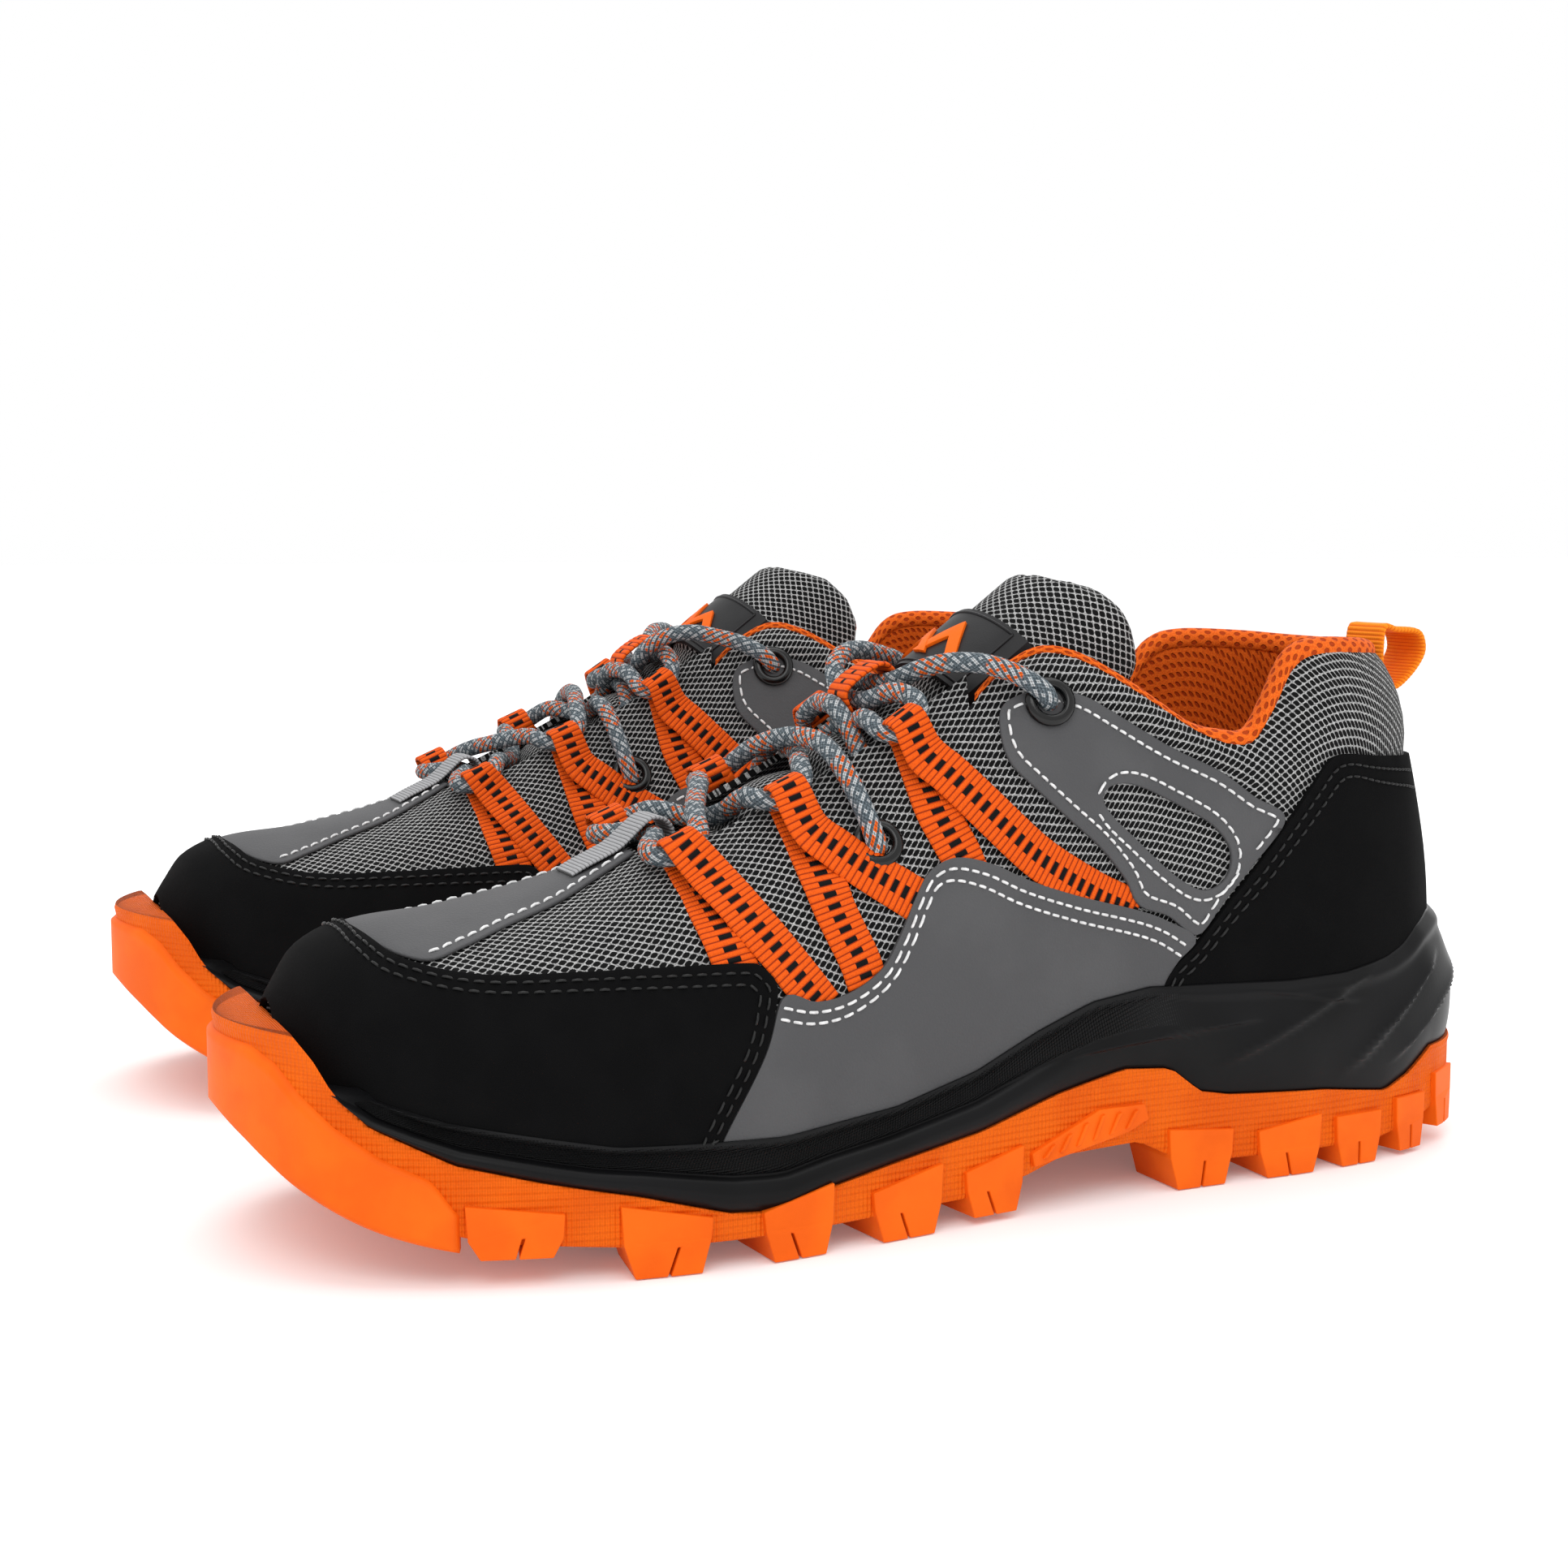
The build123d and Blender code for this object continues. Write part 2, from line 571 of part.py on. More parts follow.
# ---- tongue ----------------------------------------------------------------------------------
def make_tongue_pieces():
    """Padded tongue, its upper end above the bend, the label and the lace keeper."""
    top_face = -LACE_ROOM - MESH
    hinge = flap_plane()
    keeper_plane = Plane(origin=on_upper(-5.6, 0, -1.0), x_dir=loop_axis(-5.6, 0), z_dir=(0, -1, 0))
    with BuildPart() as keeper_seat:
        with BuildSketch(keeper_plane):
            RectangleRounded(14.6 + 2 * SHEET_GAP, 11.6 + 2 * SHEET_GAP, 3.5)
        extrude(amount=5 + SHEET_GAP, both=True)
    with BuildPart() as tongue:
        add(shell(top_face, top_face - TONGUE))
        add(plan_block([(-66, -14), (-50, -24), (-10, -27), (12, -27), (12, 27), (-10, 27), (-50, 24),
                        (-66, 14)], 50), mode=Mode.INTERSECT)
        split(bisect_by=hinge.offset(-FLAP_ROOM), keep=Keep.BOTTOM)
        add(keeper_seat.part, mode=Mode.SUBTRACT)
    # Its lower edge is notched where the lace comes in through the top eyelets.
    side_view = [(-4, 106.5), (18, 106.5), (20.5, 112), (34, 112), (36.5, 106.5), (64, 106.5), (66, 114),
                 (60, 125), (53, 131.6), (43, 136.5), (33, 137.3), (20, 137.3), (-4, 120)]
    with BuildPart() as top:
        add(flap_tube(0, FLAP_THICK))
        add(outline_block(side_view, 0), mode=Mode.INTERSECT)
        split(bisect_by=hinge.offset(FLAP_ROOM), keep=Keep.TOP)
    with BuildPart() as label:
        add(flap_tube(SHEET_GAP + LABEL_THICK, LABEL_THICK))
        with Locations(hinge.location):
            Box(36, 60, 22, align=(Align.CENTER, Align.CENTER, Align.MIN), mode=Mode.INTERSECT)
        split(bisect_by=hinge.offset(2.0), keep=Keep.TOP)
    with BuildPart() as keeper:
        with BuildSketch(keeper_plane):
            RectangleRounded(14.6, 11.6, 3.5)
            RectangleRounded(12.6, 9.6, 2.8, mode=Mode.SUBTRACT)
        extrude(amount=5, both=True)
    tab_plane = Plane(origin=on_upper(-57, 0, 0), x_dir=loop_axis(-57, 0), z_dir=(0, -1, 0))
    with BuildPart() as tab:
        add(shell(OVERLAY + SHEET_GAP + 1.0, OVERLAY + SHEET_GAP))
        add(plan_block([(-76, -6), (-57.5, -6), (-57.5, 6), (-76, 6)], 50), mode=Mode.INTERSECT)
        with BuildSketch(tab_plane):
            Circle(LOOP_BORE + 1.0)
        extrude(amount=6, both=True)
        with BuildSketch(tab_plane):
            Circle(LOOP_BORE)
        extrude(amount=7, both=True, mode=Mode.SUBTRACT)
    return {"tongue": tongue.part, "tongue_top": top.part, "tongue_label": label.part,
            "lace_keeper": keeper.part, "vamp_tab": tab.part}


# ---- lace: each route is a list of (place along the boot, distance from the middle, height) ------
# height is over the upper's surface. A route starts at the vamp tab on its own side (positive
# distance) and changes sides at every crossing.
LACE_START = (-57, 0, 0.1)
LACE_OVER = [
    (-57.4, 6.5, 0.6), (-61.6, 13, 2.8), (-62, 20.3, 4.4), (-57, 23.2, 4.4), (-52, 20.3, 4.4),
    (-50, 12, 3.2), (-46.8, 3.5, 2.0), (-43.4, -4, 2.0), (-39.5, -12, 3.2),
    (-38, -19.3, 4.4), (-33, -22.2, 4.4), (-28, -19.3, 4.4), (-26.6, -12, 3.2),
    (-24.6, -3.5, 2.0), (-22.6, 4, 2.0), (-20.8, 13, 3.4), (-20, 22, 4.0),
    (-19.2, 31, 4.3), (-18, 33.6, -0.1), (-16.8, 31, -4.4), (-15.6, 22, -4.4), (-14.4, 13, -3.6),
    (-13.2, 4, 1.8), (-12, -4, 1.9), (-10.8, -12.5, 3.2),
    (-10.5, -20.3, 4.4), (-5.5, -23.2, 4.4), (-0.5, -20.3, 4.4),
]
LACE_UNDER = [
    (-57.4, 6.5, 0.6), (-61.6, 13, 2.8), (-62, 20.3, 4.4), (-57, 23.2, 4.4), (-52, 20.3, 4.4),
    (-50, 12.5, 2.2), (-47, 4.5, -3.5), (-43.2, -4.5, -3.5), (-39.5, -12.5, 2.0),
    (-38, -19.3, 4.4), (-33, -22.2, 4.4), (-28, -19.3, 4.4), (-26.6, -12.5, 2.2),
    (-24.8, -4.5, -3.5), (-22.4, 4.5, -3.5), (-20.8, 12.5, 2.0), (-20, 21.5, 4.0),
    (-19.2, 31, 4.3), (-18, 33.6, -0.1), (-16.8, 31, -4.4), (-15.6, 22, -4.4), (-14.4, 13, -4.2),
    (-13.2, 4.5, -3.8), (-12, -4.5, -3.6), (-10.8, -12.5, 1.8),
    (-10.5, -20.3, 4.4), (-5.5, -23.2, 4.4), (-0.5, -20.3, 4.4),
]
# From the upper loop through the keeper to the top eyelet, in the boot's own sides.
KEEPER_REAR = [(-0.9, 13, 3.0), (-2.4, 6.5, -0.4), (-2.9, 0.3, -1.0), (-0.8, -6.5, -0.2), (3.6, -12.5, 2.6),
               (9.6, -18.5, 4.6), (16, -24.2, 5.4), (22.2, -29.2, 5.2), (24.2, -30.6, 1.4), (24, -30.5, -2.8)]
KEEPER_FRONT = [(-3.4, -13, 3.0), (-7.2, -6.5, -0.4), (-8.4, 0, -1.0), (-8, 6.5, 0.4), (-5.2, 11, 6.0),
                (0, 14.6, 9.2), (6.4, 18, 9.2), (12.6, 22.4, 6.6), (17.4, 25.6, 5.4), (22.2, 29.2, 5.2),
                (24.2, 30.6, 1.4), (24, 30.5, -2.8)]


def lace_route():
    """The laced part from the outer top eyelet to the inner one."""
    outer_half = [(x, -y, z) for x, y, z in LACE_OVER] + KEEPER_REAR
    inner_half = LACE_UNDER + KEEPER_FRONT
    route = list(reversed(outer_half)) + [LACE_START] + inner_half
    return [spot(*point) for point in route]


def tail_route(side):
    """From a top eyelet down into the boot, forward on the footbed and back."""
    top = [spot(24, side * 30.5, -2.8), spot(24.2, side * 30.2, -9.5)]
    wall = [inside_wall(x, z, 11.5, side) for x, z in ((27, 84), (28, 71), (24, 59), (16, 49.5))]
    plan = [(6, 25.5), (-10, 26.2), (-28, 25), (-46, 25.8), (-64, 23), (-79, 20.5), (-89, 15.5),
            (-91, 9), (-84, 5.5), (-70, 6.2), (-54, 8.6), (-38, 7.4), (-22, 8.8), (-6, 7.6), (8, 9)]
    floor = [Vector(x, side * y, between(x, 3) + FOOT_TOP + LACE / 2 + 0.5) for x, y in plan]
    return top + wall + floor


def corner_radii(route):
    """Each arc as large as its two runs allow."""
    radii = []
    for before, here, after in zip(route, route[1:], route[2:]):
        run = min((here - before).length, (after - here).length)
        turn = math.radians((here - before).get_angle(after - here))
        radii.append(0.45 * run / math.tan(turn / 2))
    return radii


def lace_tube(route, grow=0.0):
    """A round lace along straight runs joined by tangent arcs."""
    with BuildPart() as tube:
        with BuildLine() as path:
            FilletPolyline(*route, radius=corner_radii(route))
        with BuildSketch(Plane(origin=path.line @ 0, z_dir=path.line % 0)):
            Circle(LACE / 2 + grow)
        sweep(path=path.line)
    return tube.part


def threaded(piece, rooms):
    """A piece with the lace's way cut out of it."""
    with BuildPart() as opened:
        add(piece)
        for room in rooms:
            add(room, mode=Mode.SUBTRACT)
    return opened.part


def make_aglets():
    """The two hard tips of the lace."""
    tips = []
    for side in (-1, 1):
        route = tail_route(side)
        along = (route[-1] - route[-2]).normalized()
        with BuildPart() as tip:
            with BuildSketch(Plane(origin=route[-1], z_dir=along)):
                Circle(LACE / 2 - 0.4)
            extrude(amount=AGLET_LENGTH)
        tips.append(tip.part)
    return Compound(children=tips)


# ---- pull loop -------------------------------------------------------------------------------
def make_pull_loop():
    """Webbing loop that stands off the back of the collar."""
    line = [(130.2, 108.5), (134.6, 106.0), (140.4, 110), (144, 115), (144, 119.5), (142, 122),
            (131, 122.6), (129.6, 121)]
    with BuildPart() as loop:
        with BuildSketch(Plane.XZ):
            with BuildLine():
                Polyline(*line, close=True)
            shape = make_face()
            fillet(shape.vertices(), 1.8)
            offset(amount=-PULL_LOOP_THICK, mode=Mode.SUBTRACT)
        extrude(amount=PULL_LOOP_WIDTH / 2, both=True)
    return loop.part


def make_boot():
    """All pieces of the left boot about its middle plane, by name."""
    board_low = MESH + SHEET_GAP + FLOOR_GAP
    footbed_low = board_low + BOARD + FLOOR_GAP
    pieces = {
        "outsole": make_outsole(),
        "midsole": make_midsole(),
        "insole_board": make_under_foot("insole_board", 2.9, board_low, board_low + BOARD),
        "footbed": make_under_foot("footbed", 6.7, footbed_low, footbed_low + FOOTBED),
    }
    pieces |= make_upper_pieces()
    pieces |= make_overlays()
    pieces["lace_loops"] = make_webbing()
    pieces["eyelets"] = make_eyelets()
    pieces |= make_tongue_pieces()
    pieces["lace"] = lace_tube(lace_route())
    for side, hand in ((-1, "outer"), (1, "inner")):
        pieces[f"lace_tail_{hand}"] = lace_tube(tail_route(side))
    rooms = [lace_tube(lace_route(), LACE_CLEAR)]
    rooms += [lace_tube(tail_route(side), LACE_CLEAR) for side in (-1, 1)]
    for name in ("eyelets", "lace_loops", "lace_keeper"):
        pieces[name] = threaded(pieces[name], rooms)
    pieces["aglets"] = make_aglets()
    pieces["pull_loop"] = make_pull_loop()
    return pieces


def main():
    """Write both boots, the right one as the mirror image of the left."""
    for name, piece in make_boot().items():
        left = Pos(0, -BOOT_SPACING / 2, 0) * piece
        left.label = f"left_{name}"
        export_step(left, f"parts/left_{name}.step")
        right = mirror(left, about=Plane.XZ)
        right.label = f"right_{name}"
        export_step(right, f"parts/right_{name}.step")


if __name__ == "__main__":
    main()
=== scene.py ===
import math

import bmesh
import bpy
import numpy as np
from mathutils import Matrix, Vector
from mathutils.geometry import delaunay_2d_cdt


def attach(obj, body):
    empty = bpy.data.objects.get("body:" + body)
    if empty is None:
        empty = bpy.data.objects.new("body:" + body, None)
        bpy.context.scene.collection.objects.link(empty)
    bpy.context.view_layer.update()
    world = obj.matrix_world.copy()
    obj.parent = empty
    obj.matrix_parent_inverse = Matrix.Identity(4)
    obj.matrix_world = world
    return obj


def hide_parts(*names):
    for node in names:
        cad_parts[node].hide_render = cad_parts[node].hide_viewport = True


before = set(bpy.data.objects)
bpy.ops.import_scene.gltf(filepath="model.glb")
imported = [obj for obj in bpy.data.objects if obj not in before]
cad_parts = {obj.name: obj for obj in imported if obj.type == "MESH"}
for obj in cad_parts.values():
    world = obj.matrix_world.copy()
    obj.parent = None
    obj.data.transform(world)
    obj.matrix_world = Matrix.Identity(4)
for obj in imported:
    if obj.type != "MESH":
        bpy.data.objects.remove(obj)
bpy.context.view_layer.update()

MM = 0.001
SPACING_M = 0.149           # between the middle planes of the two boots
HANDS = ((-1, "outer"), (1, "inner"))   # the two sides of a boot: sign of y and name

# ---- the boot's dimensions, as in the CAD model ----------------------------------------------
MESH = 1.6
STRIP_FACE, LEATHER_FACE, NUBUCK_FACE = 1.1, 1.4, 1.6   # outer faces over the knit
LACE = 4.6
LOOP_BORE = 3.3
LOOP_HEIGHT = 4.4
FOOT_TOP = 9.5
FLAP_RADIUS = 21.5
FLAP_THICK = 6.0
FLAP_LEG = 13.0
FLAP_RISE = 6.3
FLAP_SLOPE = math.radians(37)
LABEL_FACE = 1.9            # the label's face over the tongue's
TONGUE_HINGE_X = 3.0
TONGUE_MIDDLE = -9.4        # middle of the tongue's thickness under the upper's surface

# Place along the boot, half width outside and inside, height of the sole plane, of the widest
# line and of the ridge, and fullness of the curve between them.
SECTIONS = np.array([
    (-139, 9, 9, 38.0, 41, 50, 0.615), (-136, 17, 17, 36.5, 39, 54, 0.615),
    (-131, 26, 26, 34.5, 37, 60, 0.64), (-120, 37, 37, 29.5, 33, 64, 0.665),
    (-100, 46, 44, 23.5, 28, 66, 0.665), (-75, 50, 46, 18.5, 26, 72, 0.64),
    (-50, 49.5, 43, 16.5, 27, 84, 0.585), (-25, 45.5, 38.5, 18.5, 30, 98, 0.55),
    (0, 42, 35.5, 22.5, 34, 114, 0.615), (25, 39.5, 34.5, 28.0, 38, 131, 0.71),
    (50, 38, 35, 30.5, 42, 148, 0.765), (75, 37.5, 35.5, 32.0, 44, 158, 0.765),
    (100, 36, 35, 33.0, 45, 152, 0.71), (120, 30.5, 30.5, 34.5, 46, 126, 0.69),
    (133, 21, 21, 36.0, 48, 92, 0.665), (139, 13, 13, 37.0, 49, 68, 0.64),
    (143, 6, 6, 38.0, 49, 54, 0.64),
])
TOE_X, HEEL_X = SECTIONS[0, 0], SECTIONS[-1, 0]
TOPLINE = [
    (2, 101), (9, 108.5), (16, 114.5), (25, 119), (33, 117.5), (44, 111), (58, 102), (67, 98.5),
    (74, 99), (80, 107), (86, 115.5), (94, 118.3), (110, 118), (128, 116.5), (150, 116),
]
FEATHER_LINE = [
    (-136, 39), (-127, 36.5), (-113, 32), (-82, 26), (-47, 24.5), (-20, 27), (0, 32), (16, 39),
    (30, 44), (45, 46), (83, 44.5), (99, 45), (112, 47), (124, 51), (145, 52),
]
SOLE_LINE = [
    (-134, 38), (-128, 31.5), (-113, 24), (-97, 20), (-78, 16), (-60, 11), (-48, 10), (-38, 13),
    (-22, 16), (0, 19.5), (20, 25), (38, 28.5), (50, 27.5), (58, 21.5), (66, 20), (92, 18.5),
    (111, 16), (119, 19), (128, 24), (140, 24),
]
TREAD_LINE = [
    (-152, 35), (-147, 28), (-139, 20), (-125, 12.5), (-105, 8), (-75, 5.5), (-40, 5), (0, 5.5),
    (12, 8), (22, 11), (42, 11.5), (51, 7), (62, 5), (108, 4.5), (125, 7.5), (140, 11.5), (153, 16.5),
]
SOLE_PLAN = [
    (-140, 27, 28), (-121, 41, 41.5), (-90, 50.5, 48.5), (-60, 53.5, 50), (-30, 50.5, 45),
    (0, 46, 40), (30, 42, 37.5), (60, 40.5, 38.5), (90, 40, 39.5), (120, 35, 35.5), (140, 23, 23.5),
]
SOLE_TOE, SOLE_HEEL = -150.0, 151.0
EDGE_LUGS = [
    (-102, 16, 5.5, 0.6), (-73, 16, 0, 1), (-45, 14, 0, -1), (-19, 15, 0, -1), (3, 13, 1.5, -1),
    (58, 15, 0, 0.4), (82, 15, 0, -0.6), (102, 12, 0, 0), (119, 9, 1.0, 0), (134, 9, 4.0, 0),
]
MIDDLE_LUGS = [(-88, 12, 2.5), (-59, 12, 0), (-32, 12, 0), (-8, 10, 0.5), (70, 12, 0), (92, 12, 0)]
LOOPS = [(-57, 22.5), (-33, 21.5), (-5.5, 22.5)]


# ---- the upper's surface ---------------------------------------------------------------------
def unit(vectors):
    """The same directions with length 1."""
    return vectors / (np.linalg.norm(vectors, axis=-1, keepdims=True) + 1e-9)


def section(x, column):
    """A section value at any place along the boot, as in the CAD model."""
    xs, values = SECTIONS[:, 0], SECTIONS[:, column]
    slopes = np.empty(len(xs))
    slopes[1:-1] = (values[2:] - values[:-2]) / (xs[2:] - xs[:-2])
    slopes[0] = (values[1] - values[0]) / (xs[1] - xs[0])
    slopes[-1] = (values[-1] - values[-2]) / (xs[-1] - xs[-2])
    x = np.asarray(x, float)
    i = np.clip(np.searchsorted(xs, x, side="right") - 1, 0, len(xs) - 2)
    gap = xs[i + 1] - xs[i]
    t = np.clip((x - xs[i]) / gap, 0, 1)
    rise = (2 * t**3 - 3 * t**2 + 1) * values[i] + (3 * t**2 - 2 * t**3) * values[i + 1]
    return rise + gap * ((t**3 - 2 * t**2 + t) * slopes[i] + (t**3 - t**2) * slopes[i + 1])


def roof_curve(x, outer, t):
    """Distance from the middle plane and height at t from 0 on the widest line to 1 on the ridge."""
    half = np.where(outer, section(x, 1), section(x, 2))
    shoulder, ridge, full = section(x, 4), section(x, 5), section(x, 6)
    a, b, c = (1 - t) ** 3, 3 * t * (1 - t) ** 2, 3 * t**2 * (1 - t)
    return half * (a + b + full * c), shoulder + (ridge - shoulder) * (full * b + c + t**3)


def skin_point(x, w):
    """A surface point: x along the boot, w round it from the ridge, negative on the outer side."""
    x, w = np.broadcast_arrays(np.asarray(x, float), np.asarray(w, float))
    outer, reach = w < 0, np.abs(w)
    ts = np.linspace(1, 0, 41)
    ys, zs = roof_curve(x[:, None], outer[:, None], ts[None, :])
    steps = np.hypot(np.diff(ys, axis=1), np.diff(zs, axis=1))
    lengths = np.concatenate([np.zeros((len(x), 1)), np.cumsum(steps, axis=1)], axis=1)
    k = np.clip((lengths < reach[:, None]).sum(axis=1) - 1, 0, 39)
    rows = np.arange(len(x))
    share = (reach - lengths[rows, k]) / np.maximum(steps[rows, k], 1e-6)
    t = ts[k] + np.clip(share, 0, 1) * (ts[1] - ts[0])
    y, z = roof_curve(x, outer, t)
    below = np.maximum(reach - lengths[:, -1], 0)
    return np.stack([x, np.where(outer, -y, y), z - below], axis=1)


def skin(x, w, lift=0.0):
    """Surface points raised by a lift along the surface's normal."""
    x, w = np.broadcast_arrays(np.asarray(x, float), np.asarray(w, float))
    step = 0.4
    x0, x1 = np.maximum(x - step, TOE_X), np.minimum(x + step, HEEL_X)
    along = skin_point(x1, w) - skin_point(x0, w)
    across = skin_point(x, w + step) - skin_point(x, w - step)
    out = unit(np.cross(along, across))
    return skin_point(x, w) + out * np.broadcast_to(lift, x.shape)[:, None]


def roof_ways(x, outer):
    """Points of the roof from the ridge down, and the way round to each."""
    ys, zs = roof_curve(x, outer, np.linspace(1, 0, 81))
    return ys, zs, np.concatenate([[0], np.cumsum(np.hypot(np.diff(ys), np.diff(zs)))])


def w_at(x, z, side):
    """Way round from the ridge down to a height on one side, negative on the outer side."""
    found = []
    for xi, zi in zip(np.atleast_1d(x), np.atleast_1d(z)):
        _, zs, ways = roof_ways(xi, side < 0)
        found.append(np.interp(-zi, -zs, ways) + max(0.0, zs[-1] - zi))
    return side * np.array(found)


def w_over(x, y):
    """Way round from the ridge to a point of the plan."""
    ys, _, ways = roof_ways(x, y < 0)
    return math.copysign(np.interp(abs(y), ys, ways), y)


def narrowing(x, side):
    """How much narrower than the outer side a side is."""
    return float(section(x, 2) / section(x, 1)) if side > 0 else 1.0


def over(x, distance, side):
    """Way round to a distance from the middle plane, which shrinks on the narrower inner side."""
    return w_over(x, side * distance * narrowing(x, side))


# u runs along the boot like x, but grows faster where the boot narrows, so that (u, w) is a flat
# pattern of the upper with little distortion.
X_TABLE = np.linspace(TOE_X, HEEL_X, 565)
U_TABLE = np.concatenate([[0], np.cumsum(np.sqrt(
    np.diff(X_TABLE) ** 2 + (0.7 * np.diff(section(X_TABLE, 1))) ** 2
    + (0.5 * np.diff(section(X_TABLE, 5))) ** 2))])


def u_of(x):
    return np.interp(x, X_TABLE, U_TABLE)


def x_of(u):
    return np.interp(u, U_TABLE, X_TABLE)


def line_at(line, x):
    """Height of a side-view line at places along the boot."""
    return np.interp(x, [p[0] for p in line], [p[1] for p in line])


def smooth_line(points, step=1.0, closed=False):
    """A Catmull-Rom curve through points, with samples a step apart."""
    points = np.asarray(points, float)
    if closed:
        points = np.concatenate([points[-1:], points, points[:2]])
    else:
        points = np.concatenate([[2 * points[0] - points[1]], points, [2 * points[-1] - points[-2]]])
    samples = []
    for p0, p1, p2, p3 in zip(points, points[1:], points[2:], points[3:]):
        count = max(2, int(np.linalg.norm(p2 - p1) / step * 3))
        t = np.linspace(0, 1, count, endpoint=False)[:, None]
        samples.append(0.5 * (2 * p1 + (p2 - p0) * t + (2 * p0 - 5 * p1 + 4 * p2 - p3) * t**2
                              + (3 * p1 - p0 - 3 * p2 + p3) * t**3))
    samples.append(points[-2][None, :])
    return evenly(np.concatenate(samples), step)


def runs_along(points):
    """Way along a polyline at each of its points."""
    return np.concatenate([[0], np.cumsum(np.linalg.norm(np.diff(points, axis=0), axis=1))])


def evenly(points, step):
    """Points a step apart along a polyline."""
    places = runs_along(points)
    count = max(2, int(round(places[-1] / step)) + 1)
    wanted = np.linspace(0, places[-1], count)
    return np.stack([np.interp(wanted, places, points[:, i]) for i in range(points.shape[1])], axis=1)


def hem(x):
    """Height at which every upper piece ends, hidden behind the midsole."""
    return line_at(FEATHER_LINE, x) - 4


def pattern(x, w):
    """Points of the flat pattern from places along and round the boot."""
    return np.stack([u_of(x), w], axis=1)


def hem_line(x0, x1, count, side):
    """The hem on the flat pattern, between two places along the boot."""
    x = np.linspace(x0, x1, count)
    return pattern(x, w_at(x, hem(x), side))


def flat(points, side):
    """Side-view points (x, z) as points of the flat pattern on one side, ending at the hem."""
    points = np.asarray(points, float)
    x = np.clip(points[:, 0], TOE_X, HEEL_X)
    z = np.maximum(points[:, 1], hem(x))
    return pattern(x, w_at(x, z, side))


def inside(points, loop):
    """Which flat points lie inside a closed loop."""
    hits = np.zeros(len(points), int)
    for (x0, y0), (x1, y1) in zip(loop, np.roll(loop, -1, axis=0)):
        if y0 == y1:
            continue
        spans = (points[:, 1] < y0) != (points[:, 1] < y1)
        cross = x0 + (points[:, 1] - y0) / (y1 - y0) * (x1 - x0)
        hits += spans & (points[:, 0] < cross)
    return hits % 2 == 1


# ---- making pieces ---------------------------------------------------------------------------
PIECES = []


def stands_for(nodes, slot, first=True):
    """What the first piece of a CAD node says: the nodes it replaces and its slot."""
    return {"nodes": nodes.split(), "slot": slot} if first else {}


TONGUE_TOP, PULL_LOOP, BOOT = "tongue_top_body", "pull_loop_body", "boot"


def add_object(name, data):
    obj = bpy.data.objects.new(name, data)
    bpy.context.scene.collection.objects.link(obj)
    return obj


def piece(name, points, faces, material, uv=None, body=BOOT, nodes=(), slot=None):
    """A mesh of the left boot. Its uv, in millimetres, goes on a layer of that name."""
    points = np.asarray(points, float) * MM
    points[:, 1] -= SPACING_M / 2
    mesh = bpy.data.meshes.new(name)
    mesh.from_pydata(points.tolist(), [], [list(map(int, face)) for face in faces])
    if uv is not None:
        layer = mesh.uv_layers.new(name="mm")
        loops = np.empty(len(mesh.loops), int)
        mesh.loops.foreach_get("vertex_index", loops)
        layer.data.foreach_set("uv", np.asarray(uv, float)[loops].ravel())
    mesh.materials.append(material)
    mesh.validate()
    mesh.shade_smooth()
    obj = add_object("left_" + name, mesh)
    PIECES.append((obj, body, nodes, slot))
    return obj


def thicken(obj, thick, round_edge=0.35):
    """Gives a sheet its thickness inwards, with rounded edges."""
    solid = obj.modifiers.new("thickness", "SOLIDIFY")
    solid.thickness = thick * MM
    solid.offset = -1
    soften(obj, round_edge)


def soften(obj, width, segments=2, angle=50):
    """Rounds the sharp edges."""
    bevel = obj.modifiers.new("edges", "BEVEL")
    bevel.width = width * MM
    bevel.segments = segments
    bevel.limit_method = "ANGLE"
    bevel.angle_limit = math.radians(angle)


def grid_faces(rows, columns, closed=False):
    """Quads of a grid of points stored row by row; closed joins the last column to the first."""
    faces = []
    for r in range(rows - 1):
        for c in range(columns if closed else columns - 1):
            d = (c + 1) % columns
            faces.append((r * columns + c, r * columns + d, (r + 1) * columns + d, (r + 1) * columns + c))
    return faces


def rod_faces(rows, columns):
    """Faces of a row of rings with a cap at each end."""
    last = (rows - 1) * columns
    caps = [list(range(columns))[::-1], [last + c for c in range(columns)]]
    return grid_faces(rows, columns, closed=True) + caps


def ring_faces(rows, columns):
    """Faces of a row of rings whose last ring meets the first."""
    last = (rows - 1) * columns
    seam = [(last + c, last + (c + 1) % columns, (c + 1) % columns, c) for c in range(columns)]
    return grid_faces(rows, columns, closed=True) + seam


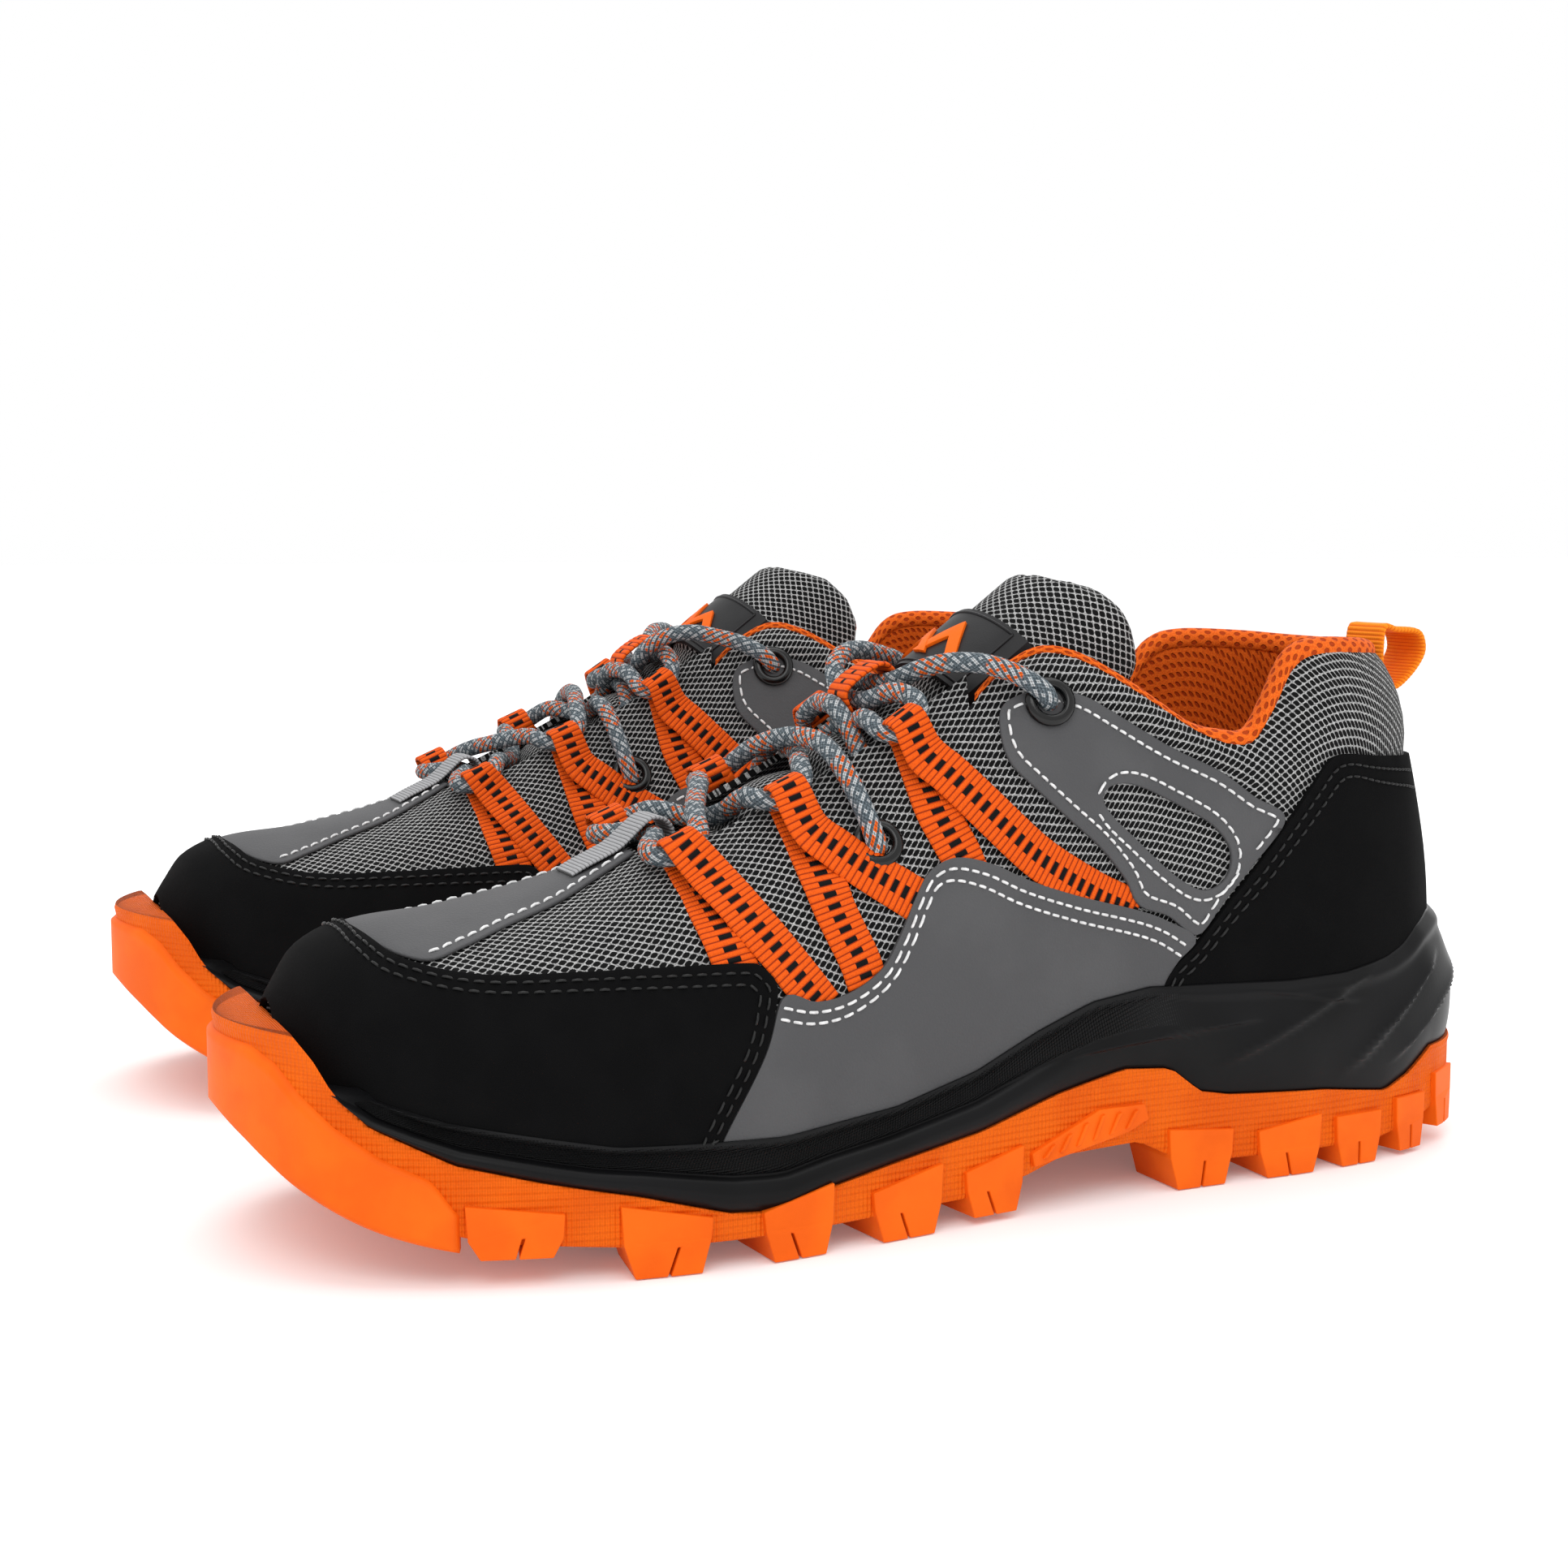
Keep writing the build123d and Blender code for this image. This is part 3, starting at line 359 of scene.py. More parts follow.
def fill_flat(loop, holes=(), spacing=2.6):
    """Triangles over a loop of the flat pattern, counter-clockwise, and their points."""
    rings = [np.asarray(loop)] + [np.asarray(h) for h in holes]
    low, high = rings[0].min(axis=0), rings[0].max(axis=0)
    us, ws = np.meshgrid(np.arange(low[0], high[0], spacing), np.arange(low[1], high[1], spacing))
    us = us + (np.arange(us.shape[0]) % 2)[:, None] * spacing / 2
    free = np.stack([us.ravel(), ws.ravel()], axis=1)
    keep = inside(free, rings[0])
    for ring in rings[1:]:
        keep &= ~inside(free, ring)
    edge = np.concatenate(rings)
    free = free[keep]
    clear = [np.min(np.hypot(*(edge - p).T)) > 0.45 * spacing for p in free]
    free = free[np.array(clear, bool)] if len(free) else free
    edges, start = [], 0
    for ring in rings:
        n = len(ring)
        edges += [(start + i, start + (i + 1) % n) for i in range(n)]
        start += n
    points = [Vector((float(a), float(b))) for a, b in np.concatenate([edge, free])]
    out, _, faces, *_ = delaunay_2d_cdt(points, edges, [], 0, 1e-5)
    out = np.array([(p.x, p.y) for p in out])
    faces = np.array([f for f in faces])
    centres = out[faces].mean(axis=1)
    keep = inside(centres, rings[0])
    for ring in rings[1:]:
        keep &= ~inside(centres, ring)
    faces = faces[keep]
    a, b, c = out[faces[:, 0]], out[faces[:, 1]], out[faces[:, 2]]
    turn = (b[:, 0] - a[:, 0]) * (c[:, 1] - a[:, 1]) - (b[:, 1] - a[:, 1]) * (c[:, 0] - a[:, 0])
    faces[turn < 0] = faces[turn < 0][:, ::-1]
    used = np.unique(faces)
    index = np.full(len(out), -1)
    index[used] = np.arange(len(used))
    return out[used], index[faces]


def panel(name, loop, material, lift, thick, holes=(), spacing=2.6, round_edge=0.35, **where):
    """A sewn piece on the upper: a loop of the flat pattern at a lift, with a thickness."""
    points, faces = fill_flat(loop, holes, spacing)
    x = x_of(points[:, 0])
    lifts = lift(x, points[:, 1]) if callable(lift) else lift
    obj = piece(name, skin(x, points[:, 1], lifts), faces, material, points, **where)
    thicken(obj, thick, round_edge)
    return obj


def offset_line(line, distance):
    """A flat polyline moved to its left."""
    along = unit(np.gradient(line, axis=0))
    return line + distance * np.stack([-along[:, 1], along[:, 0]], axis=1)


STITCH, STITCH_GAP, THREAD = 2.7, 0.6, 0.3


def stitches(name, lines, material, lift, **where):
    """Rows of stitches, each a thread that rises from the surface and dips back in."""
    points, faces, start, step = [], [], 0, 0.25
    share = np.array([0, 0.15, 0.5, 0.85, 1])
    rise = np.array([-0.35, 0.12, 0.28, 0.12, -0.35])
    size = np.array([0.5, 1, 1.1, 1, 0.5]) * THREAD
    turns = np.linspace(0, 2 * math.pi, 6, endpoint=False)
    for line in lines:
        line = evenly(np.asarray(line), step)
        length = step * (len(line) - 1)
        for s in np.arange(0.4, length - STITCH, STITCH + STITCH_GAP):
            at = (s + share * STITCH) / step
            uw = np.stack([np.interp(at, np.arange(len(line)), line[:, i]) for i in (0, 1)], axis=1)
            x = x_of(uw[:, 0])
            middle = skin(x, uw[:, 1], lift + rise)
            up = skin(x, uw[:, 1], lift + rise + 1) - middle
            side = unit(np.cross(np.gradient(middle, axis=0), up))
            ring = (middle[:, None, :] + size[:, None, None] * (
                np.cos(turns)[None, :, None] * side[:, None, :]
                + np.sin(turns)[None, :, None] * up[:, None, :]))
            points.append(ring.reshape(-1, 3))
            faces += [[start + i for i in face] for face in rod_faces(len(share), len(turns))]
            start += len(share) * len(turns)
    return piece(name, np.concatenate(points), faces, material, **where)


def ribbon(name, stations, material, thick=1.0, pitch=1.3, rib=0.3, closed=False, **where):
    """Webbing along stations of (point, across direction, width), ribbed across."""
    rows = np.array([[*p, *unit(np.asarray(a, float)), width] for p, a, width in stations])
    rows = smooth_line(rows, pitch / 5, closed)
    centre, across, width = rows[:, :3], rows[:, 3:6], rows[:, 6]
    place = runs_along(centre)
    along = np.gradient(centre, axis=0)
    up = unit(np.cross(along, across))
    across = unit(np.cross(up, along))
    height = thick / 2 * (1 - rib + rib * np.abs(np.sin(math.pi * place / pitch)))
    share = np.array([-1, -0.93, -0.8, -0.5, 0, 0.5, 0.8, 0.93, 1])
    edge = np.array([0.25, 0.85, 1, 0.94, 0.94, 0.94, 1, 0.85, 0.25])
    ring_share = np.concatenate([share, share[::-1]])
    ring_up = np.concatenate([edge, -edge[::-1]])
    reach = (width / 2)[:, None] * ring_share
    points = (centre[:, None, :] + reach[:, :, None] * across[:, None, :]
              + height[:, None, None] * ring_up[None, :, None] * up[:, None, :])
    uv = np.stack(np.broadcast_arrays(reach, place[:, None]), axis=2)
    size = (len(centre), len(ring_share))
    faces = [f[::-1] for f in (grid_faces(*size, closed=True) if closed else rod_faces(*size))]
    return piece(name, points.reshape(-1, 3), faces, material, uv.reshape(-1, 2), **where)


# ---- materials -------------------------------------------------------------------------------
class Look:
    """A material's node tree, written from its outputs back to its inputs."""

    def __init__(self, name, roughness, **sockets):
        self.material = bpy.data.materials.new(name)
        self.material.use_nodes = True
        self.tree = self.material.node_tree
        self.shader = self.tree.nodes["Principled BSDF"]
        self.shader.inputs["Roughness"].default_value = roughness
        for socket, value in sockets.items():
            self.shader.inputs[socket.replace("_", " ")].default_value = value

    def put(self, socket, value):
        if isinstance(value, bpy.types.NodeSocket):
            self.tree.links.new(value, socket)
        else:
            socket.default_value = value

    def math(self, operation, a, b=0.0, c=0.5):
        node = self.tree.nodes.new("ShaderNodeMath")
        node.operation = operation
        for socket, value in zip(node.inputs, (a, b, c)):
            self.put(socket, value)
        return node.outputs[0]

    def times(self, a, b):
        return self.math("MULTIPLY", a, b)

    def plus(self, a, b):
        return self.math("ADD", a, b)

    def minus(self, a, b):
        return self.math("SUBTRACT", a, b)

    def mix(self, share, a, b):
        node = self.tree.nodes.new("ShaderNodeMix")
        node.data_type = "RGBA"
        self.put(node.inputs[0], share)
        self.put(node.inputs[6], a)
        self.put(node.inputs[7], b)
        return node.outputs[2]

    def step(self, value, low, high):
        """0 below low, 1 above high, smooth between."""
        node = self.tree.nodes.new("ShaderNodeMapRange")
        node.interpolation_type = "SMOOTHSTEP"
        self.put(node.inputs[0], value)
        node.inputs[1].default_value = low
        node.inputs[2].default_value = high
        return node.outputs[0]

    def below(self, value, low, high):
        """1 below low, 0 above high, smooth between."""
        return self.minus(1.0, self.step(value, low, high))

    def place(self):
        """The piece's own coordinates, in metres."""
        return self.tree.nodes.new("ShaderNodeTexCoord").outputs["Object"]

    def uv(self):
        """The two pattern coordinates, in millimetres."""
        node = self.tree.nodes.new("ShaderNodeUVMap")
        node.uv_map = "mm"
        parts = self.tree.nodes.new("ShaderNodeSeparateXYZ")
        self.tree.links.new(node.outputs[0], parts.inputs[0])
        return parts.outputs[0], parts.outputs[1]

    def noise(self, size_mm, detail=3.0, where=None):
        """Noise from 0 to 1 with features of a size."""
        node = self.tree.nodes.new("ShaderNodeTexNoise")
        node.inputs["Scale"].default_value = 1 / (size_mm * MM)
        node.inputs["Detail"].default_value = detail
        self.put(node.inputs["Vector"], where or self.place())
        return node.outputs["Fac"]

    def cells(self, size_mm):
        """Distance from the nearest cell's middle, for leather grain."""
        node = self.tree.nodes.new("ShaderNodeTexVoronoi")
        node.inputs["Scale"].default_value = 1 / (size_mm * MM)
        self.put(node.inputs["Vector"], self.place())
        return node.outputs["Distance"]

    def wave(self, value, pitch):
        """A cosine of a coordinate, from -1 to 1."""
        return self.math("COSINE", self.times(value, 2 * math.pi / pitch))

    def colour(self, value):
        self.put(self.shader.inputs["Base Color"], value)

    def bump(self, height, depth_mm, strength=1.0):
        node = self.tree.nodes.new("ShaderNodeBump")
        node.inputs["Strength"].default_value = strength
        node.inputs["Distance"].default_value = depth_mm * MM
        self.put(node.inputs["Height"], height)
        previous = self.shader.inputs["Normal"].links
        if previous:
            self.tree.links.new(previous[0].from_socket, node.inputs["Normal"])
        self.tree.links.new(node.outputs[0], self.shader.inputs["Normal"])


ORANGE, ORANGE_DEEP = (0.86, 0.135, 0.003, 1), (0.78, 0.108, 0.002, 1)
BLACK = (0.003, 0.003, 0.0032, 1)


def two_tone(look, size_mm, a, b):
    """A colour that drifts a little between two tones."""
    look.colour(look.mix(look.step(look.noise(size_mm), 0.35, 0.65), a, b))


def plain_look(name, roughness, a, b, drift, grain, depth, **sockets):
    """Two close tones and a fine grain."""
    look = Look(name, roughness, **sockets)
    two_tone(look, drift, a, b)
    look.bump(look.noise(grain, 4), depth)
    return look


def knurled_look():
    """Orange rubber wall with a fine diagonal knurl."""
    look = plain_look("knurled_rubber", 0.62, ORANGE, ORANGE_DEEP, 14, 0.5, 0.02, Specular_IOR_Level=0.12)
    u, v = look.uv()
    slant = look.times(v, 0.7)
    a = look.wave(look.plus(u, slant), 2.0)
    b = look.wave(look.minus(u, slant), 2.0)
    look.bump(look.times(a, b), 0.28, 1.0)
    return look.material


def ribbed_foam_look():
    """Black midsole with a fine diagonal rib on its upper band: uv is (along, share down)."""
    look = plain_look("ribbed_foam", 0.36, BLACK, (0.0045, 0.0045, 0.005, 1), 25, 0.6, 0.015,
                      Specular_IOR_Level=0.13)
    u, v = look.uv()
    rib = look.wave(look.plus(u, look.times(v, 0.9)), 1.1)
    cross = look.wave(look.minus(u, look.times(v, 1.6)), 1.6)
    band = look.times(look.step(v, 0.5, 1.2), look.below(v, 5.2, 5.8))
    fade = look.below(u, 205, 235)
    height = look.times(look.times(rib, cross), look.times(band, fade))
    look.bump(height, 0.35)
    return look.material


def leather_look():
    """Mid-grey synthetic leather with a fine grain."""
    look = Look("grey_synthetic", 0.6, Specular_IOR_Level=0.18)
    two_tone(look, 22, (0.072, 0.072, 0.075, 1), (0.082, 0.082, 0.085, 1))
    look.bump(look.cells(0.55), 0.07)
    look.bump(look.noise(0.25, 4), 0.03)
    return look.material


def nubuck_look():
    """Black nubuck: a short nap with a soft sheen."""
    look = Look("black_nubuck", 0.95, Specular_IOR_Level=0.04, Sheen_Weight=0.008, Sheen_Roughness=0.5)
    two_tone(look, 9, (0.0038, 0.0038, 0.0040, 1), (0.0044, 0.0044, 0.0046, 1))
    look.bump(look.noise(0.35, 6), 0.12)
    return look.material


def knit_look(name, thread, shade, long=2.6, short=1.95, hole_shade=BLACK, low=0.2, high=0.36):
    """Open mesh knit: lens-shaped holes in staggered rows between twisted threads. The holes are filled with
    painted shade, and a fine fibre noise mixes the yarn's tone with a painted-shade copy of it.
    """
    look = Look(name, 0.8, Specular_IOR_Level=0.12)
    u, v = look.uv()
    sway = look.times(look.minus(look.noise(7, 2), 0.5), 0.5)
    net = look.times(look.plus(look.wave(look.plus(u, sway), long),
                                          look.wave(v, short)), 0.5)
    depth = look.math("ABSOLUTE", net)
    fibre_and_shade = look.noise(0.3, 5)
    open_share = look.step(depth, low, high)
    # Painted shade: a fine fibre noise mixes the yarn's tone with its shaded copy, and the holes are filled
    # with the dark hole colour.
    yarn = look.mix(look.step(fibre_and_shade, 0.35, 0.65), shade, thread)
    look.colour(look.mix(open_share, yarn, hole_shade))
    height = look.minus(1.0, open_share)
    look.bump(look.plus(height, look.times(fibre_and_shade, 0.35)), 0.35)
    return look.material


def webbing_look(name, a, b, dash=True, pitch=1.3, dash_half=1.55):
    """Ribbed webbing with painted shade (the darker tone b) in the grooves between the ribs, and woven black
    dashes along its middle if wanted.
    """
    look = Look(name, 0.7, Specular_IOR_Level=0.12)
    across, along = look.uv()
    rib = look.math("ABSOLUTE", look.math("SINE", look.times(along, math.pi / pitch)))
    thread = look.wave(across, 0.55)
    # Painted shade: the darker tone b fills the grooves between the ribs; a fine noise also mixes a little of
    # it in at random.
    colour = look.mix(look.step(rib, 0.15, 0.55), b, a)
    colour = look.mix(look.times(look.step(look.noise(0.35, 3), 0.45, 0.7), 0.25), colour, b)
    if dash:
        near = look.below(look.math("ABSOLUTE", across), dash_half - 0.15, dash_half)
        every = look.math("SINE", look.times(along, math.pi / pitch))
        colour = look.mix(look.times(near, look.step(every, 0.05, 0.25)), colour, BLACK)
    look.colour(colour)
    look.bump(look.plus(rib, look.times(thread, 0.18)), 0.12)
    return look.material


BRAID_PITCH = 2.1           # way along the lace in which a strand moves one strand's width round it
STRAND_BASE = 4000.0        # added to the strands' numbers so that none is negative


def braid_look():
    """Round braid: light and dark strands both ways round, with orange flecks and painted shade in the
    grooves between the strands. uv is (strand, mm along).
    """
    look = Look("lace_braid", 0.7, Specular_IOR_Level=0.12)
    around, along = look.uv()
    left = look.plus(look.math("DIVIDE", along, BRAID_PITCH), around)
    right = look.minus(look.math("DIVIDE", along, BRAID_PITCH), around)
    left_strand = look.math("FLOOR", look.math("MULTIPLY_ADD", left, 2.0, STRAND_BASE))
    right_strand = look.math("FLOOR", look.math("MULTIPLY_ADD", right, 2.0, STRAND_BASE))
    turn = look.math("MODULO", look.plus(left_strand, right_strand), 2.0)
    gap = look.minus(right_strand, left_strand)
    strand = look.math("MODULO", look.math("MULTIPLY_ADD", turn, gap, left_strand), 4.0)
    white = look.below(strand, 0.4, 0.6)
    third = look.math("COMPARE", strand, 2.0)
    fleck = look.times(look.step(look.wave(along, 17), 0.0, 0.2), third)
    wool = look.step(look.noise(0.4, 3), 0.35, 0.65)
    colour = look.mix(wool, (0.062, 0.082, 0.096, 1), (0.15, 0.18, 0.20, 1))
    colour = look.mix(white, colour, (0.50, 0.52, 0.53, 1))
    colour = look.mix(fleck, colour, (0.80, 0.12, 0.006, 1))
    # Painted shade: near-black lines darken the grooves between the crossing strands.
    over = look.times(look.wave(left, 1.0), look.wave(right, 1.0))
    edge = look.below(look.math("ABSOLUTE", over), 0.05, 0.35)
    look.colour(look.mix(look.times(edge, 0.7), colour, (0.008, 0.010, 0.012, 1)))
    return look.material


RUBBER = plain_look("orange_rubber", 0.58, ORANGE, ORANGE_DEEP, 16, 0.5, 0.04,
                    Specular_IOR_Level=0.14).material
KNURLED = knurled_look()
FOAM = ribbed_foam_look()
LEATHER = leather_look()
NUBUCK = nubuck_look()
# Knit looks: yarn tone, its painted-shade copy, and for the air mesh a painted-shade tone for the holes.
KNIT = knit_look("grey_knit", (0.50, 0.50, 0.495, 1), (0.16, 0.16, 0.16, 1))
AIR_MESH = knit_look("orange_mesh", (0.80, 0.15, 0.012, 1), (0.66, 0.09, 0.006, 1), 4.2, 2.6,
                     (0.38, 0.04, 0.003, 1), 0.5, 0.8)
# Webbing tones: each second colour is painted shade for the grooves between the ribs.
WEBBING_TONE_AND_SHADE = (0.76, 0.098, 0.004, 1), (0.30, 0.026, 0.002, 1)
ORANGE_WEBBING = webbing_look("orange_webbing", *WEBBING_TONE_AND_SHADE)
KEEPER_WEBBING = webbing_look("keeper_webbing", *WEBBING_TONE_AND_SHADE, True, 1.6, 0.8)
YELLOW_WEBBING = webbing_look("yellow_webbing", (0.95, 0.27, 0.012, 1), (0.78, 0.14, 0.006, 1), False, 1.0)
GREY_WEBBING = webbing_look("grey_webbing", (0.36, 0.36, 0.37, 1), (0.14, 0.14, 0.14, 1), False, 0.9)
BRAID = braid_look()
WHITE_THREAD = plain_look("white_thread", 0.6, (0.80, 0.80, 0.80, 1), (0.62, 0.62, 0.62, 1), 1, 0.3,
                          0.05).material
BLACK_THREAD = plain_look("black_thread", 0.4, (0.004, 0.004, 0.004, 1), (0.007, 0.007, 0.007, 1), 1, 0.3,
                          0.05, Specular_IOR_Level=0.3).material
METAL = plain_look("black_metal", 0.18, (0.0015, 0.0015, 0.0015, 1), (0.002, 0.002, 0.002, 1), 5, 2, 0.01,
                   Specular_IOR_Level=0.4).material
LABEL = plain_look("black_rubber", 0.46, (0.006, 0.006, 0.007, 1), (0.009, 0.009, 0.010, 1), 6, 0.4, 0.03,
                   Specular_IOR_Level=0.25).material
BOARD = plain_look("board", 0.9, (0.05, 0.048, 0.045, 1), (0.035, 0.033, 0.03, 1), 3, 0.5, 0.08).material
# Footbed knit: yarn tone and its painted-shade copy, with painted shade in the holes.
FOOTBED = knit_look("footbed_fabric", (0.1, 0.1, 0.105, 1), (0.06, 0.06, 0.065, 1), 1.4, 1.1)
TIP = plain_look("clear_plastic", 0.15, (0.4, 0.4, 0.4, 1), (0.45, 0.45, 0.45, 1), 3, 1, 0.01,
                 Coat_Weight=0.6).material


# ---- sole ------------------------------------------------------------------------------------
COLUMNS = 180
THETA = np.linspace(0, math.pi, COLUMNS)
PLAN_X = (SOLE_TOE + SOLE_HEEL) / 2 - (SOLE_HEEL - SOLE_TOE) / 2 * np.cos(THETA)


def plan_side(side):
    """The sole's plan on one side from toe to heel: points, outward directions, way along."""
    outer = [(x, -a) for x, a, _ in SOLE_PLAN]
    inner = [(x, b) for x, _, b in SOLE_PLAN]
    loop = smooth_line([(SOLE_TOE, 0), *outer, (SOLE_HEEL, 0), *reversed(inner)], 0.5, closed=True)
    half = loop[np.sign(loop[:, 1]) == side]
    half = half[np.argsort(half[:, 0])]
    y = np.interp(PLAN_X, np.concatenate([[SOLE_TOE], half[:, 0], [SOLE_HEEL]]),
                  np.concatenate([[0], half[:, 1], [0]]))
    along = unit(np.gradient(np.stack([PLAN_X, y], axis=1), axis=0))
    out = side * np.stack([-along[:, 1], along[:, 0]], axis=1)
    out[0], out[-1] = (-1, 0), (1, 0)
    way = np.concatenate([[0], np.cumsum(np.hypot(np.diff(PLAN_X), np.diff(y)))])
    return y, out, way


PLAN = {side: plan_side(side) for side in (-1, 1)}


def wall(side, way, z, out):
    """A point on the sole's wall: way along the side from the toe, height, distance proud."""
    y, normal, ways = PLAN[side]
    at = [np.interp(way, ways, values) for values in (PLAN_X, y, normal[:, 0], normal[:, 1])]
    return np.stack(np.broadcast_arrays(at[0] + at[2] * out, at[1] + at[3] * out, z), axis=-1)


def way_at(side, x):
    return np.interp(x, PLAN_X, PLAN[side][2])


def orange_top(x):
    """Upper edge of the orange wall, turned up over the toe."""
    return line_at([(-156, 49), (-140, 48.3), (-137, 44)] + SOLE_LINE, x)


# Rows of the outsole's wall from its top down: distance proud, share of the height.
WALL_ROWS = [(0.6, 1.0), (0.9, 0.94), (0.6, 0.85), (0.6, 0.6), (0.6, 0.35), (0.6, 0.1), (0.2, 0.02)]


def outsole_rows(side):
    """Rows of points and uv on one side, from the middle of the top over the wall and underneath."""
    top, tread = orange_top(PLAN_X), line_at(TREAD_LINE, PLAN_X)
    y, _, way = PLAN[side]

    def level(share, z):
        return np.stack([PLAN_X, y * share, z], axis=1), np.stack([way, y * share], axis=1)

    rows = [level(share, top - 0.3) for share in (0.35, 0.8)]
    for proud, height in WALL_ROWS:
        z = tread + (top - tread) * height
        rows.append((wall(side, way, z, proud), np.stack([way, z], axis=1)))
    return rows + [level(share, tread + 0.3) for share in (0.75, 0.35)]


def make_outsole_shell():
    """Orange sole from its upper edge, down the wall and across the underside."""
    rows = outsole_rows(-1) + outsole_rows(1)[::-1]
    points = np.stack([row[0] for row in rows], axis=1).reshape(-1, 3)
    uv = np.stack([row[1] for row in rows], axis=1).reshape(-1, 2)
    obj = piece("outsole_shell", points, grid_faces(COLUMNS, len(rows), closed=True), KNURLED, uv,
                nodes=("outsole",), slot="orange_rubber")
    weld(obj)
    soften(obj, 0.5)


def weld(obj):
    """Joins vertices that share a place and turns the faces outwards."""
    mesh = bmesh.new()
    mesh.from_mesh(obj.data)
    bmesh.ops.remove_doubles(mesh, verts=mesh.verts, dist=0.02 * MM)
    bmesh.ops.dissolve_degenerate(mesh, edges=mesh.edges, dist=0.005 * MM)
    bmesh.ops.recalc_face_normals(mesh, faces=mesh.faces)
    mesh.to_mesh(obj.data)
    mesh.free()
    obj.data.shade_smooth()


def block(name, front, back, edge):
    """A rubber block between two outlines with as many points."""
    n = len(front)
    faces = [list(range(n)), [2 * n - 1 - i for i in range(n)]]
    faces += [[i, n + i, n + (i + 1) % n, (i + 1) % n] for i in range(n)]
    obj = piece(name, np.concatenate([front, back]), faces, RUBBER)
    weld(obj)
    soften(obj, edge)
    obj.data.shade_flat()


def wall_block(name, side, outline, proud, deep, edge):
    """A block on the sole's wall: a side-view outline of (x, z), from proud of it to deep inside."""
    x, z = np.array(outline, float).T
    ways = way_at(side, x)
    block(name, wall(side, ways, z, proud), wall(side, ways, z, -deep), edge)


LUG_PROUD = 1.8             # how far lugs and the arch's panel stand out from the wall


def lug_outline(middle, length, ground, lean):
    """Side view of an edge lug: a trapezoid with a slanted crown and a sipe cut into its foot."""
    half = length / 2
    root = float(line_at(TREAD_LINE, middle))
    crown, sipe, depth = root + 7.4, 0.3, 0.5 * (root + 6 - ground)
    shift = 2.0 * lean
    return [
        (middle - half * 1.18, crown + 1.9 * lean), (middle + half * 1.12, crown - 1.9 * lean),
        (middle + half * 1.08, root + 1.5), (middle + half * 0.84, ground),
        (middle + sipe, ground), (middle + sipe + shift, ground + depth),
        (middle - sipe + shift, ground + depth), (middle - sipe, ground),
        (middle - half * 0.84, ground), (middle - half * 1.12, root + 1.5),
    ]


def make_lugs():
    """Tread blocks along both edges and down the middle."""
    for i, lug in enumerate(EDGE_LUGS):
        for side, hand in HANDS:
            wall_block(f"lug_{hand}_{i}", side, lug_outline(*lug), LUG_PROUD, 15, 0.35)
    for i, (middle, length, ground) in enumerate(MIDDLE_LUGS):
        for side, hand in HANDS:
            reach = abs(float(np.interp(middle, PLAN_X, PLAN[side][0]))) - 19
            root = float(line_at(TREAD_LINE, middle)) + 2
            half = length / 2
            plan = [(-half, 1.2), (half - 2, 1.2), (half, reach * 0.5), (half - 3, reach),
                    (-half + 1, reach), (-half - 2, reach * 0.5)]
            low = [(middle + 0.9 * x, side * y, ground) for x, y in plan]
            high = [(middle + 1.1 * x, side * y, root) for x, y in plan]
            block(f"lug_middle_{hand}_{i}", low, high, 0.6)


BUMPER_TOP = [
    (-151, 45.6), (-146, 45.2), (-142.5, 42.5), (-139, 37), (-134, 31.5), (-126, 25.5), (-118, 21.6),
    (-113, 17.5),
]
BUMPER_LOW = smooth_line(TREAD_LINE[:6], 1.0)
BUMPER_END_X = -112.5


def make_bumper():
    """Smooth toe bumper that stands proud of the knurled wall, down to the tread."""
    ends = [way_at(side, BUMPER_END_X) for side in (-1, 1)]
    ways = np.concatenate([-np.arange(ends[0], 0, -1.0), np.arange(0, ends[1], 1.0)])
    shares = np.linspace(0, 1, 15)
    rows, uvs = [], []
    for way in ways:
        side = -1 if way < 0 else 1
        x = float(np.interp(abs(way), PLAN[side][2], PLAN_X))
        edge = min(1.0, (ends[0 if side < 0 else 1] - abs(way)) / 1.2)
        top = float(line_at(BUMPER_TOP, x)) - 3.0 * max(0.0, (x + 117) / 4.5)
        low = float(line_at(BUMPER_LOW, x)) - 2.4
        rise = np.minimum(1, np.minimum(shares, 1 - shares) / 0.06) * (0.35 + 0.65 * edge)
        proud = 0.4 + 1.5 * np.sqrt(rise) * min(1.0, 0.3 + edge)
        z = top + (low - top) * shares
        inner = z[[-1, 0]]
        rows.append(np.concatenate([wall(side, abs(way), z, proud), wall(side, abs(way), inner, -3.0)]))
        uvs.append(np.stack([np.full(len(rows[0]), way), np.append(z, inner)], axis=1))
    faces = rod_faces(len(rows), len(rows[0]))
    weld(piece("toe_bumper", np.concatenate(rows), faces, RUBBER, np.concatenate(uvs)))


def make_shank():
    """Raised panel in the arch with slanted grooves."""
    outline = [(12.5, 13.2), (30.5, 20.6), (42.5, 20.6), (43.6, 17.0), (38, 14.6), (13.2, 10.2)]
    for side, hand in HANDS:
        wall_block(f"shank_panel_{hand}", side, outline, LUG_PROUD, 6, 0.3)
        for i in range(6):
            x = 15 + 4.4 * i
            low, high = 10.9 + 0.17 * (x - 13), min(20.2, 13.6 + 0.41 * (x - 12.5) + 0.6)
            bar = [(x, low + 0.7), (x + 1.1, low + 0.9), (x + 3.4, high - 0.5), (x + 2.3, high - 0.9)]
            wall_block(f"shank_bar_{hand}_{i}", side, bar, 2.6, 3, 0.25)


HEEL_CREASES = [
    ((20, 33), (75, 37)), ((62, 26), (118, 48)), ((96, 20), (134, 47)), ((70, 44), (104, 38)),
    ((112, 22), (146, 44)),
]


